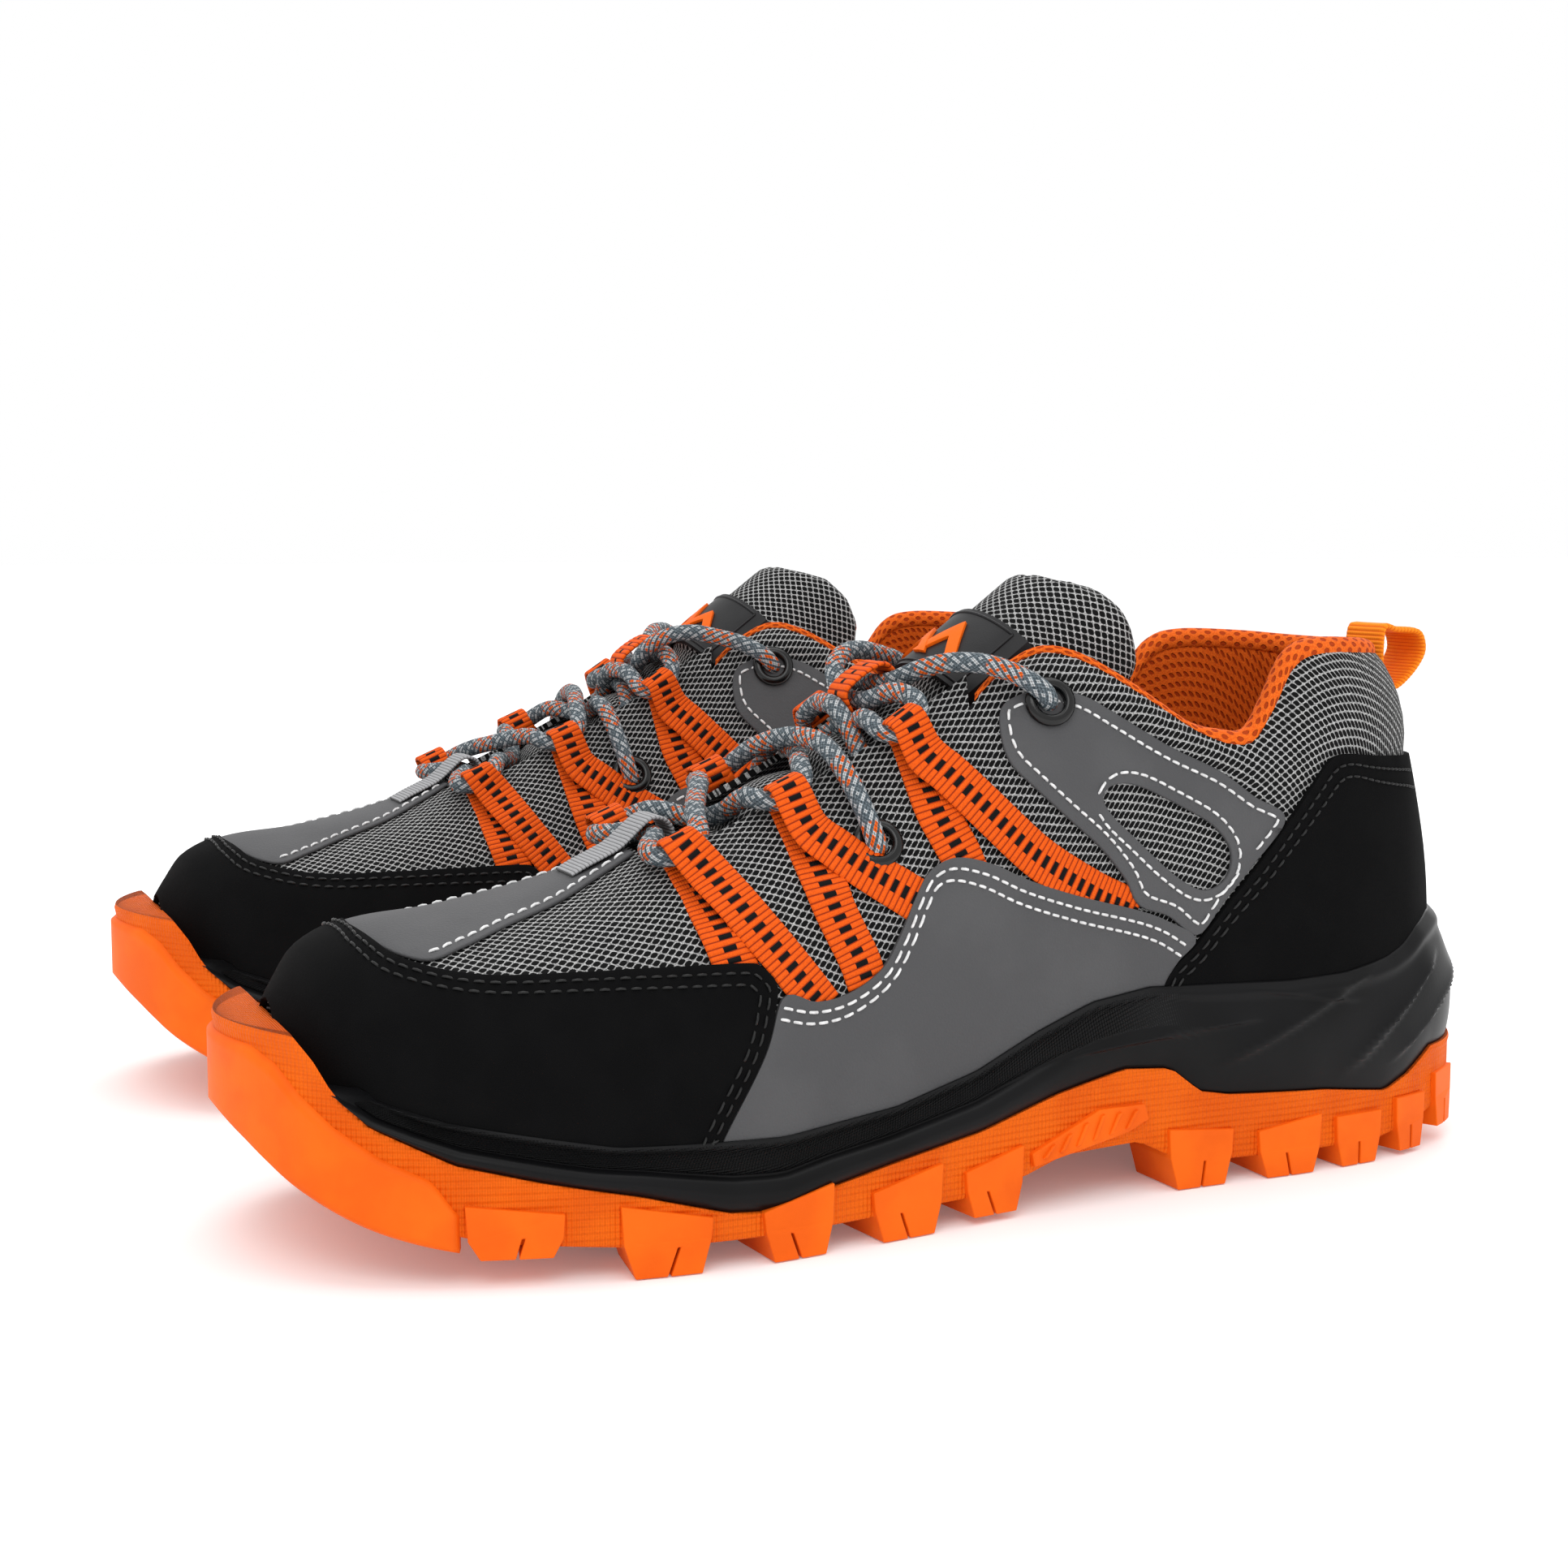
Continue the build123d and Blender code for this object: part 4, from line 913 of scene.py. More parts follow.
def crease(x, z):
    """Height of the heel's long flowing facets, stepped along each crease."""
    height = np.zeros_like(z)
    for (x0, z0), (x1, z1) in HEEL_CREASES:
        length = math.hypot(x1 - x0, z1 - z0)
        along = ((x - x0) * (x1 - x0) + (z - z0) * (z1 - z0)) / length
        off = ((z - z0) * (x1 - x0) - (x - x0) * (z1 - z0)) / length
        fade = np.clip(along / 8, 0, 1) * np.clip((length - along) / 8, 0, 1)
        height += fade * 1.5 * np.exp(-np.clip(off, 0, None) / 3.0) * np.clip((off + 0.5) / 0.5, 0, 1)
    return height


def skin_loop(side, lift, x0=-140.5, x1=144.5):
    """The upper's feather line from toe to heel, as points that match the plan's columns."""
    x = (x0 + x1) / 2 - (x1 - x0) / 2 * np.cos(THETA)
    on = np.clip(x, TOE_X + 0.5, HEEL_X - 0.5)
    z = line_at(FEATHER_LINE, on) + 3.5 * np.clip((on - 118) / 14, 0, 1)
    points = skin(on, w_at(on, z, side), lift)
    fade = np.minimum(1, np.minimum(x - x0, x1 - x) / 4.5)
    points[:, 1] *= np.sqrt(np.clip(fade * (2 - fade), 0, 1))
    points[:, 0] = np.where(x != on, x, points[:, 0])
    points[:, 2] = z
    return points


def midsole_rows(side):
    """Rows of points and uv on one side, from the feather line down and back up inside."""
    y, out, way = PLAN[side]
    high, inner = skin_loop(side, NUBUCK_FACE + 0.1), skin_loop(side, -1.0)
    low = np.stack([PLAN_X, y, line_at(SOLE_LINE, PLAN_X) + 0.1], axis=1)
    front = 1 - np.clip((PLAN_X - 5) / 30, 0, 1)
    off_toe = np.clip((PLAN_X + 138) / 6, 0, 1)
    rows = []
    for v in np.linspace(0, 1, 56):
        points = high + (low - high) * (1 - (1 - v) ** 2.4)
        points[:, 2] = high[:, 2] + (low[:, 2] - high[:, 2]) * v
        bead = np.clip((v - 0.52) / 0.48, 0, 1)
        groove = 0.9 * math.exp(-((v - 0.5) / 0.045) ** 2)
        proud = off_toe * front * (1.5 * math.sin(math.pi * bead) ** 0.8 - groove)
        lip = 0.8 * math.exp(-((v - 0.08) / 0.05) ** 2) * np.clip((PLAN_X + 134) / 8, 0, 1)
        heel = (1 - front) * 1.5 * math.sin(math.pi * min(1, v * 1.02)) ** 0.7
        facets = (1 - front) * crease(PLAN_X, points[:, 2]) * math.sin(math.pi * min(1, 0.04 + v * 0.95))
        points[:, :2] += out * (proud + lip + heel + facets)[:, None]
        rows.append((points, v * 12))
    bottom = low.copy()
    bottom[:, :2] = inner[:, :2] + (low[:, :2] - inner[:, :2]) * 0.4
    inner[:, 2] = high[:, 2] - 0.6
    rows += [(bottom, 12.0), (inner, 12.0)]
    points = np.stack([row[0] for row in rows], axis=1)
    uv = np.stack([np.stack([way, np.full(COLUMNS, down)], axis=1) for _, down in rows], axis=1)
    return points, uv


def make_midsole():
    """Black foam wall from the upper's feather line out and down to the orange sole."""
    outer, inner = midsole_rows(-1), midsole_rows(1)
    points, uv = (np.concatenate([a, b[-2:0:-1]]) for a, b in zip(outer, inner))
    obj = piece("midsole_wall", points.reshape(-1, 3), ring_faces(*points.shape[:2]), FOAM,
                uv.reshape(-1, 2), nodes=("midsole",), slot="black_foam")
    weld(obj)


# ---- upper -----------------------------------------------------------------------------------
TOE_OVERLAY = [
    (-122.5, 75), (-121.5, 63), (-117, 60), (-104, 57.5), (-85, 57.6), (-71, 58), (-52, 58.2), (-48.6, 57),
    (-46.4, 54), (-47.3, 50), (-51, 41), (-61, 25), (-64, 15),
]
QUARTER_OVERLAY = [
    (-63, 15), (-60.5, 25), (-50.5, 41), (-45.2, 51.5), (-38, 50), (-30, 51), (-22, 55), (-17, 61),
    (-12, 69), (-8, 74), (-2, 76.5), (6, 75), (15, 71), (27, 67), (42, 63), (50, 60), (57.5, 55.5),
    (52, 50), (48, 42), (44, 15),
]
ANKLE_OVERLAY = [
    (72, 70.5), (65, 63.5), (58, 56.3), (50.3, 61), (42.5, 64), (39, 70), (33, 77), (25, 84),
    (18, 90.5), (13.5, 95.5), (12.5, 101), (14, 107), (19, 110), (25, 111), (32, 109.5), (39, 105.5),
    (51, 98.5), (64, 92.5), (73, 86.5), (81.5, 81),
]
ANKLE_WINDOW = [
    (34, 88), (37, 90.5), (43, 90), (53, 85.5), (62, 80.5), (66.5, 75), (66, 69.5), (62, 66.5),
    (57, 67), (50, 71.5), (42, 78.5), (36, 84),
]
HEEL_OVERLAY = [
    (46, 15), (48.5, 44), (58.3, 54.8), (66, 63), (73, 70), (82.5, 80.5), (89, 88), (94, 93.3),
    (99, 94.8), (107, 94), (120, 93), (134, 92),
]
VAMP_STRIP = [
    (-125, -12), (-121.5, -14), (-117.5, -21), (-112, -25), (-104, -22.5), (-93, -18),
    (-82, -14.5), (-72, -10), (-63, -7.5),
]
STRIP_CORNER = 13           # point of the strip's smooth edge at which its side begins
THROAT = [(-62, 8.8), (-58, 13), (-53, 16), (-30, 17.2), (0, 18.5), (10, 18.9)]
COLLAR_BACK_X = 124.3       # where the topline meets the ridge behind the heel


def topline_edge(side, x0=8.0, count=70):
    """The collar's edge on one side from the throat to the middle of the heel: (x, w)."""
    t = np.linspace(0, math.pi / 2, count)
    x = x0 + (COLLAR_BACK_X - x0) * np.sin(t)
    w = w_at(x, line_at(smooth_line(TOPLINE, 1.0), x), side)
    w[-1] = 0
    return np.stack([x, w], axis=1)


def throat_edge(side):
    """The eyestay's edge on one side, from its toe end to the collar: (x, w)."""
    return np.array([(x, over(x, y, side)) for x, y in smooth_line(THROAT, 1.5)])


# Upper edges of the ankle and heel overlays, over which the collar is padded.
PAD_FOOT = ANKLE_OVERLAY[10:] + HEEL_OVERLAY[6:-2] + [(135, 92)]


def collar_pad(x, w):
    """How far the padded collar swells between the overlays and its edge."""
    z = skin_point(x, w)[:, 2]
    foot, top = line_at(PAD_FOOT, x), line_at(TOPLINE, x)
    share = np.clip((z - foot) / np.maximum(top - foot, 4), 0, 1)
    return 2.2 * np.sin(math.pi * share) ** 0.7 * np.clip((x - 14) / 8, 0, 1)


def make_upper():
    """Knitted upper in two halves joined along the ridge, open at the throat and the collar."""
    for side, hand in HANDS:
        edge = pattern(*np.concatenate([throat_edge(side), topline_edge(side)]).T)
        start = edge[0]
        front_u = np.linspace(0, start[0], 40)[:-1]
        front = np.stack([front_u, np.zeros(len(front_u))], axis=1)
        join = np.stack([np.full(5, start[0]), np.linspace(0, start[1], 6)[:-1]], axis=1)
        back_u = np.linspace(edge[-1][0], U_TABLE[-1], 12)[1:]
        back = np.stack([back_u, np.zeros(len(back_u))], axis=1)
        loop = np.concatenate([front, join, edge, back, hem_line(HEEL_X, TOE_X, 190, side)])
        panel(f"upper_knit_{hand}", loop[::-side], KNIT, collar_pad, MESH, round_edge=0.3,
              **stands_for("upper_mesh", "grey_knit", side < 0))


LINING_BACK_X = 142.4       # behind the heel, where the lining's two halves end
COLLAR_SLIM = 0.62          # share of the collar edge's width given up beside the tongue


def collar_front(x):
    """1 in front of the ankle, where collar and lining are thin beside the tongue, 0 further back."""
    return 1 - np.clip((np.asarray(x) - 42) / 18, 0, 1)


def make_lining():
    """Orange air mesh inside the boot, from the collar down to the footbed."""
    for side, hand in HANDS:
        collar = topline_edge(side, 12)
        x = np.linspace(12, LINING_BACK_X, 60)[::-1]
        low = np.stack([x, w_at(x, section(x, 3) + 7, side)], axis=1)
        back = np.stack([np.linspace(COLLAR_BACK_X, LINING_BACK_X, 12)[1:], np.zeros(11)], axis=1)
        ring = pattern(*np.concatenate([collar, back, low]).T)
        points, faces = fill_flat(ring[::-side], (), 3.0)
        place = x_of(points[:, 0])
        surface = skin(place, points[:, 1], -5.3 + 2.2 * collar_front(place))
        thicken(piece(f"lining_{hand}", surface, faces[:, ::-1], AIR_MESH, points,
                      **stands_for("lining", "orange_mesh", side < 0)), 0.9, 0.2)


def make_collar_edge():
    """The rolled edge that joins upper, foam and lining round the ankle."""
    outer, inner = topline_edge(-1, 9.5, 90), topline_edge(1, 9.5, 90)
    path = np.concatenate([outer, inner[::-1][1:]])
    base = skin(path[:, 0], path[:, 1])
    out = skin(path[:, 0], path[:, 1], 1.0) - base
    out[:, 2] = 0
    out = unit(out)
    x = base[:, 0]
    tall = 1.5 + 1.5 * np.clip((x - 58) / 8, 0, 1)
    slim = 1 - COLLAR_SLIM * collar_front(x)
    middle = base - out * (2.6 * slim)[:, None]
    turns = np.linspace(-0.5, math.pi + 0.5, 14)
    ring = []
    for a in turns:
        reach = 3.0 if a < math.pi / 2 else 3.2
        sideways = out * (reach * slim * math.cos(a))[:, None]
        ring.append(middle + sideways + np.array([0, 0, 1]) * (tall * math.sin(a))[:, None])
    ring.append(middle - np.array([0, 0, 3.0]))
    points = np.stack(ring, axis=1)
    columns = points.shape[1]
    uv = np.stack(np.broadcast_arrays(runs_along(base)[:, None], np.linspace(0, 12, columns)), axis=2)
    weld(piece("collar_edge", points.reshape(-1, 3), rod_faces(len(x), columns), AIR_MESH,
               uv.reshape(-1, 2), **stands_for("collar_piping collar_padding", "orange_mesh")))


def both_sides_loop(line, end_x, at_toe):
    """A flat loop that crosses the ridge: an edge on both sides, closed by the hem round one end."""
    hem_x = line[-1 if at_toe else 0][0]
    hems = [hem_line(hem_x, end_x, 60, side)[1:] for side in (-1, 1)]
    edges = [flat(line, side) for side in (-1, 1)]
    if at_toe:
        return np.concatenate([edges[0], hems[0], hems[1][::-1], edges[1][::-1]])
    return np.concatenate([hems[0][::-1], edges[0], edges[1][::-1][1:], hems[1]])


def unique_ring(loop):
    """Drops points that repeat their neighbour."""
    loop = np.asarray(loop)
    gap = np.hypot(*(loop - np.roll(loop, 1, axis=0)).T)
    return loop[gap > 0.05]


def rows_beside(edge, turn, distances=(2.0, 4.2)):
    """Lines at distances beside an edge."""
    return [offset_line(edge, turn * distance) for distance in distances]


def make_nubuck():
    """Black toe and heel overlays with their two rows of stitches."""
    toe_line = np.concatenate([TOE_OVERLAY[:1], smooth_line(TOE_OVERLAY[1:], 1.4)])
    heel_line = smooth_line(HEEL_OVERLAY, 1.4)
    for name, loop in (("toe_overlay", both_sides_loop(toe_line, TOE_X, True)),
                       ("heel_overlay", both_sides_loop(heel_line, HEEL_X, False))):
        panel(name, unique_ring(loop), NUBUCK, NUBUCK_FACE, 1.5, spacing=2.4,
              **stands_for(name, "black_nubuck"))
    across = np.concatenate([flat(toe_line[1:], -1)[::-1], flat(toe_line[1:], 1)])
    rows = rows_beside(across, 1)
    for side in (-1, 1):
        rows += rows_beside(flat(heel_line[8:-8], side), side)
    stitches("black_stitches", rows, BLACK_THREAD, NUBUCK_FACE)


def make_vamp_strip():
    """Grey strip along the ridge from the toe overlay to the throat."""
    strip = smooth_line(VAMP_STRIP, 1.4)
    edges = [np.array([(u_of(x), over(x, -y, side)) for x, y in strip]) for side in (-1, 1)]
    panel("vamp_strip", unique_ring(np.concatenate([edges[0], edges[1][::-1]])), LEATHER, STRIP_FACE, 0.9,
          **stands_for("vamp_strip", "grey_synthetic"))
    rows = rows_beside(edges[0][STRIP_CORNER:], 1, (2.2,)) + rows_beside(edges[1][STRIP_CORNER:], -1, (2.2,))
    stitches("strip_stitches", rows, WHITE_THREAD, STRIP_FACE)


def make_side_overlays():
    """Grey quarter and ankle overlays with white stitches along their edges."""
    quarter = smooth_line(QUARTER_OVERLAY, 1.4)
    for side, hand in HANDS:
        hem_part = hem_line(quarter[-1][0], quarter[0][0], 40, side)[1:-1]
        ring = unique_ring(np.concatenate([flat(quarter, side), hem_part]))
        panel(f"quarter_overlay_{hand}", ring, LEATHER, LEATHER_FACE, 1.2,
              **stands_for(f"quarter_overlay_{hand}", "grey_synthetic"))
        ankle = flat(smooth_line(ANKLE_OVERLAY, 1.2, closed=True)[:-1], side)
        window = flat(smooth_line(ANKLE_WINDOW, 1.0, closed=True)[:-1], side)
        panel(f"ankle_overlay_{hand}", unique_ring(ankle), LEATHER, LEATHER_FACE - 0.05, 1.2,
              holes=[unique_ring(window)], **stands_for(f"ankle_overlay_{hand}", "grey_synthetic"))
        rows = rows_beside(flat(smooth_line(QUARTER_OVERLAY[3:17], 1.4), side), side, (2.0, 4.1))
        rows.append(offset_line(np.concatenate([ankle, ankle[:1]]), side * 2.2)[2:-2])
        rows.append(offset_line(np.concatenate([window, window[:1]]), -side * 2.0))
        stitches(f"white_stitches_{hand}", rows, WHITE_THREAD, LEATHER_FACE)


# Middle line of each webbing leg in side view, from the loop down: first the front leg, then the rear.
LEGS = [
    ([(-56.5, 70), (-54.6, 60.5), (-53.4, 54.5)], [(-54.5, 73.5), (-46.5, 62.5), (-37.5, 50.5), (-36, 48.5)]),
    ([(-32.5, 78), (-30.2, 67), (-26, 56), (-25, 52.5)],
     [(-31.5, 81.5), (-23, 75.5), (-12.6, 69), (-9.5, 67)]),
    ([(-5.8, 93), (-3.4, 84), (0.2, 75.5), (1.5, 72)],
     [(-4, 96.5), (4, 88.5), (16.5, 76.5), (30, 68), (38, 64.2), (42, 62)]),
]
STRAP = 9.6                 # width of the loops' webbing


def on_pattern(x, z, side, lift):
    """A point of the upper from its side view."""
    return skin([x], w_at([x], [z], side), lift)[0]


def webbing_leg(line, lifts, side, axis):
    """Stations of a webbing leg along a side-view line: lifts is (shares of the line, heights)."""
    spots = smooth_line(line, 5.0)
    heights = np.interp(np.linspace(0, 1, len(spots)), *lifts)
    points = [on_pattern(x, z, side, lift) for (x, z), lift in zip(spots, heights)]
    stations = []
    for k, (point, spot_xz) in enumerate(zip(points, spots)):
        ahead = points[min(k + 1, len(points) - 1)] - points[max(k - 1, 0)]
        normal = on_pattern(*spot_xz, side, 2) - on_pattern(*spot_xz, side, 0)
        across = unit(np.cross(normal, ahead))
        stations.append((point, across * np.sign(across @ axis), STRAP))
    return stations


REAR_LIFTS = ([0, 0.25, 0.6, 0.82, 1], [3.6, 1.75, 0.95, 0.6, 0.2])
FRONT_LIFTS = ([0, 0.3, 0.8, 1], [1.6, 0.85, 0.6, 0.2])


def make_webbing():
    """Lace loops: one strap each, up from under the overlays, round the lace and down again."""
    radius = LOOP_BORE + 0.75
    for i, ((x, reach), (front, rear)) in enumerate(zip(LOOPS, LEGS)):
        for side, hand in HANDS:
            narrow = side * reach * narrowing(x, side)
            base, centre = (skin([x], [w_over(x, narrow)], lift)[0] for lift in (0, LOOP_HEIGHT))
            up = (centre - base) / LOOP_HEIGHT
            ends = [skin([at], [w_over(at, narrow)])[0] for at in (x + 3, x - 3)]
            axis = unit(ends[0] - ends[1])
            down = np.cross(axis, up)
            down *= np.sign(down @ (0, side, -1))
            loop = []
            for angle in (72, 110, 150, 195, 235, 268):
                a = math.radians(angle)
                width = STRAP * (0.86 - 0.0875 * (1 - abs(angle - 170) / 100))
                loop.append((centre + radius * (math.cos(a) * down + math.sin(a) * up), axis, width))
            stations = webbing_leg(rear, REAR_LIFTS, side, axis)[::-1] + loop
            stations += webbing_leg(front, FRONT_LIFTS, side, axis)[1:]
            ribbon(f"lace_loop_{hand}_{i}", stations, ORANGE_WEBBING, 1.0,
                   **stands_for("lace_loops", "orange_webbing", (i, side) == (0, -1)))


# ---- tongue ----------------------------------------------------------------------------------
def flap_frame():
    """Origin of the tongue's bend and the directions outwards and up along it."""
    origin = skin([TONGUE_HINGE_X], [0.0], TONGUE_MIDDLE)[0]
    along = np.array([math.cos(FLAP_SLOPE), 0, math.sin(FLAP_SLOPE)])
    return origin, np.array([-math.sin(FLAP_SLOPE), 0, math.cos(FLAP_SLOPE)]), along


FLAP_ORIGIN, FLAP_OUT, FLAP_ALONG = flap_frame()


def flap(g, s, lift=0.0):
    """A point of the tongue's upper end: g round it from its crown, s up along it."""
    g, s, lift = np.broadcast_arrays(np.asarray(g, float), np.asarray(s, float), np.asarray(lift, float))
    quarter = math.pi / 2 * FLAP_RADIUS
    angle = np.clip(g, -quarter, quarter) / FLAP_RADIUS
    reach = FLAP_RADIUS + lift
    y = reach * np.sin(angle)
    out = FLAP_RISE - FLAP_RADIUS + reach * np.cos(angle) - np.maximum(np.abs(g) - quarter, 0)
    return (FLAP_ORIGIN + out[..., None] * FLAP_OUT + s[..., None] * FLAP_ALONG
            + y[..., None] * np.array([0, 1, 0]))


# The flat pattern's triangles face outwards in this order of their points.
FLAP_TURN = 1 if np.cross(flap(1, 20) - flap(0, 20), flap(0, 21) - flap(0, 20)) @ FLAP_OUT > 0 else -1
# Side view of the upper end, with a notch over the top eyelets.
FLAP_VIEW = [
    (-4, 106.5), (18, 106.5), (20.5, 112), (34, 112), (36.5, 106.5), (50, 106.5), (53, 112), (53.5, 120),
    (50, 128), (44.5, 134), (38, 136.8), (33, 137.3), (20, 137.3), (-4, 120),
]


def flap_loop():
    """Outline of the tongue's upper end on its own flat pattern of (g, s)."""
    lower, upper = [], []
    limit = math.pi / 2 * FLAP_RADIUS + FLAP_LEG
    s = np.linspace(0.9, 90, 400)
    for g in np.linspace(-limit, limit, 81):
        held = inside(flap(g, s)[:, [0, 2]], np.array(FLAP_VIEW))
        starts = np.flatnonzero(~held[:-1] & held[1:])
        if len(starts):
            held[:starts[-1] + 1] = False
        ways = s[held]
        if len(ways) > 3 and ways[-1] - ways[0] > 3:
            lower.append((g, ways[0]))
            upper.append((g, ways[-1]))
    ring = np.array(lower + upper[::-1])
    return unique_ring(smooth_line(ring[::3], 1.5, closed=True)[:-1])


def make_tongue_top():
    """Padded upper end of the tongue: a pillow bent round the ankle."""
    loop = flap_loop()
    points, faces = fill_flat(loop, (), 2.4)
    gap = np.array([np.min(np.hypot(*(loop - p).T)) for p in points])
    rim = gap < 0.05
    swell = np.sqrt(np.clip(1 - (1 - np.clip(gap / 5, 0, 1)) ** 2, 0, 1))
    quilt = 0.4 * np.cos(points[:, 0] / 9)
    outer = flap(points[:, 0], points[:, 1], -FLAP_THICK / 2 + (FLAP_THICK / 2 + quilt) * swell)
    inner = flap(points[:, 0], points[:, 1], -FLAP_THICK / 2 - FLAP_THICK / 2 * swell)
    n = len(points)
    back = np.where(rim, np.arange(n), np.arange(n) + n)
    turned = faces[:, ::FLAP_TURN]
    all_faces = np.concatenate([turned, back[turned[:, ::-1]]])
    obj = piece("tongue_top_pad", np.concatenate([outer, inner]), all_faces, KNIT,
                np.concatenate([points, points]), body=TONGUE_TOP, **stands_for("tongue_top", "grey_knit"))
    mesh = bmesh.new()
    mesh.from_mesh(obj.data)
    bmesh.ops.delete(mesh, geom=[v for v in mesh.verts if not v.link_faces], context="VERTS")
    mesh.to_mesh(obj.data)
    mesh.free()
    top = loop[loop[:, 1] > 0.75 * loop[:, 1].max() - 6]
    top = top[np.argsort(top[:, 0])]
    edge = smooth_line(top[::3], 1.2)
    line = flap(edge[:, 0], edge[:, 1] - 0.6, -FLAP_THICK / 2 - 1.6)
    tube("tongue_edge", line, 0.9, AIR_MESH, body=TONGUE_TOP)


def make_tongue():
    """Padded lower tongue that swells between the laces."""
    valleys = [-70, -57.5, -45, -23.8, -11.6, 1.5, 14]
    xs, ws = np.linspace(-64, 9, 74), np.linspace(-25, 25, 41)
    x, w = (grid.ravel() for grid in np.meshgrid(xs, ws, indexing="ij"))
    swell = np.zeros(len(x))
    for a, b in zip(valleys, valleys[1:]):
        share = np.clip((x - a) / (b - a), 0, 1)
        swell = np.maximum(swell, np.sin(math.pi * share) ** 0.8 * min(1, (b - a) / 16))
    side_fade = np.clip(1 - (np.abs(w) / 21) ** 3, 0, 1)
    ends = np.clip((x + 64) / 4, 0, 1)
    lift = -7.0 + 4.0 * swell * side_fade * ends
    thick = 4.6 * np.sqrt(np.clip(1 - np.clip((np.abs(w) - 20) / 5, 0, 1) ** 2, 0.02, 1))
    top, bottom = skin(x, w, lift), skin(x, w, np.minimum(lift - 0.6, -7.0 - thick))
    rows, columns = len(xs), len(ws)
    n = rows * columns
    faces = grid_faces(rows, columns)
    faces += [[n + i for i in f[::-1]] for f in grid_faces(rows, columns)]
    spots = np.arange(n).reshape(rows, columns)
    border = np.concatenate([spots[0], spots[1:, -1], spots[-1, -2::-1], spots[-2:0:-1, 0]])
    faces += [(a, b, n + b, n + a) for a, b in zip(border, np.roll(border, -1))]
    uv = pattern(x, w)
    weld(piece("tongue_pad", np.concatenate([top, bottom]), faces, KNIT, np.concatenate([uv, uv]),
               **stands_for("tongue", "grey_knit")))


def flap_panel(name, loop, material, lift, thick):
    """A flat piece on the tongue's upper end."""
    points, faces = fill_flat(unique_ring(loop), (), 2.0)
    obj = piece(name, flap(points[:, 0], points[:, 1], lift), faces[:, ::FLAP_TURN], material, points,
                body=TONGUE_TOP)
    thicken(obj, thick, 0.3)


def make_label_details():
    """Generic mountain sign and a raised border on the rubber label."""
    for k, (g0, high) in enumerate(((-4.5, 11.5), (5.0, 8.5))):
        peak = [(g0 - 7.5, 6.0), (g0, 6.0 + high), (g0 + 7.5, 6.0), (g0 + 4.6, 6.0), (g0, 6.0 + high * 0.55),
                (g0 - 4.6, 6.0)]
        ring = evenly(np.array(peak + peak[:1], float), 0.8)[:-1]
        flap_panel(f"label_sign_{k}", ring, RUBBER, LABEL_FACE + 0.75 + 0.1 * k, 0.8)
    low, high = np.array([-15.6, 3.4]), np.array([15.6, 20.8])
    left_top, right_foot = np.array([low[0], high[1]]), np.array([high[0], low[1]])
    for k, ends in enumerate(((low, right_foot), (left_top, high), (low, left_top), (right_foot, high))):
        line = evenly(np.array(ends), 1.0)
        spots = flap(line[:, 0], line[:, 1], LABEL_FACE + 0.05)
        tube(f"label_border_{k}", spots, 0.32, LABEL, body=TONGUE_TOP)


def tube(name, line, radius, material, body=BOOT, sides=12):
    """A plain round edge or piping along points."""
    line = evenly(np.asarray(line), max(0.6, radius * 0.6))
    rings = sweep(line, np.full((len(line), sides), radius))
    uv = np.stack(np.broadcast_arrays(np.arange(len(line))[:, None], np.linspace(0, 2, sides)), axis=2)
    weld(piece(name, rings.reshape(-1, 3), rod_faces(len(line), sides), material, uv.reshape(-1, 2),
               body=body))


def sweep(line, radii):
    """Rings of points round a line, with a frame that doesn't twist: radii is (points, sides)."""
    along = unit(np.gradient(line, axis=0))
    side = unit(np.cross(along[0], (0.3, 0.1, 1.0)))
    turns = np.linspace(0, 2 * math.pi, radii.shape[1], endpoint=False)
    rings = []
    for p, t, r in zip(line, along, radii):
        side = unit(side - t * (side @ t))
        up = np.cross(t, side)
        rings.append(p + r[:, None] * (np.cos(turns)[:, None] * side + np.sin(turns)[:, None] * up))
    return np.array(rings)


def ridge_frame(x, lift):
    """A point over the ridge and the directions along it and up from it."""
    along = unit(skin([x + 3], [0.0])[0] - skin([x - 3], [0.0])[0])
    up = np.cross(along, (0, 1, 0))
    return skin([x], [0.0], lift)[0], along, up * np.sign(up[2])


def make_keeper_and_tab():
    """Lace keeper on the tongue and the tab at the throat's toe end."""
    centre, along, up = ridge_frame(-5.6, -1.0)
    stations = []
    for angle in range(0, 360, 30):
        a = math.radians(angle)
        c, s = math.cos(a), math.sin(a)
        x = 6.8 * math.copysign(abs(c) ** 0.6, c)
        z = 5.3 * math.copysign(abs(s) ** 0.6, s)
        stations.append((centre + x * along + z * up, (0, 1, 0), 9.6))
    ribbon("lace_keeper", stations, KEEPER_WEBBING, 1.1, 1.6, 0.2, closed=True,
           **stands_for("lace_keeper", "orange_webbing"))
    stations = [(skin([x], [0.0], lift)[0], (0, 1, 0), 11.0) for x, lift in
                ((-76, 1.4), (-72, 1.9), (-68, 2.0), (-64, 2.2))]
    centre, along, up = ridge_frame(-57, 0.1)
    for angle in (100, 60, 20, -25, -70, -110):
        a = math.radians(angle)
        stations.append((centre + 3.9 * (math.cos(a) * along + math.sin(a) * up), (0, 1, 0), 10.4))
    ribbon("vamp_tab", stations, GREY_WEBBING, 1.0, 0.9, 0.25, **stands_for("vamp_tab", "grey_webbing"))


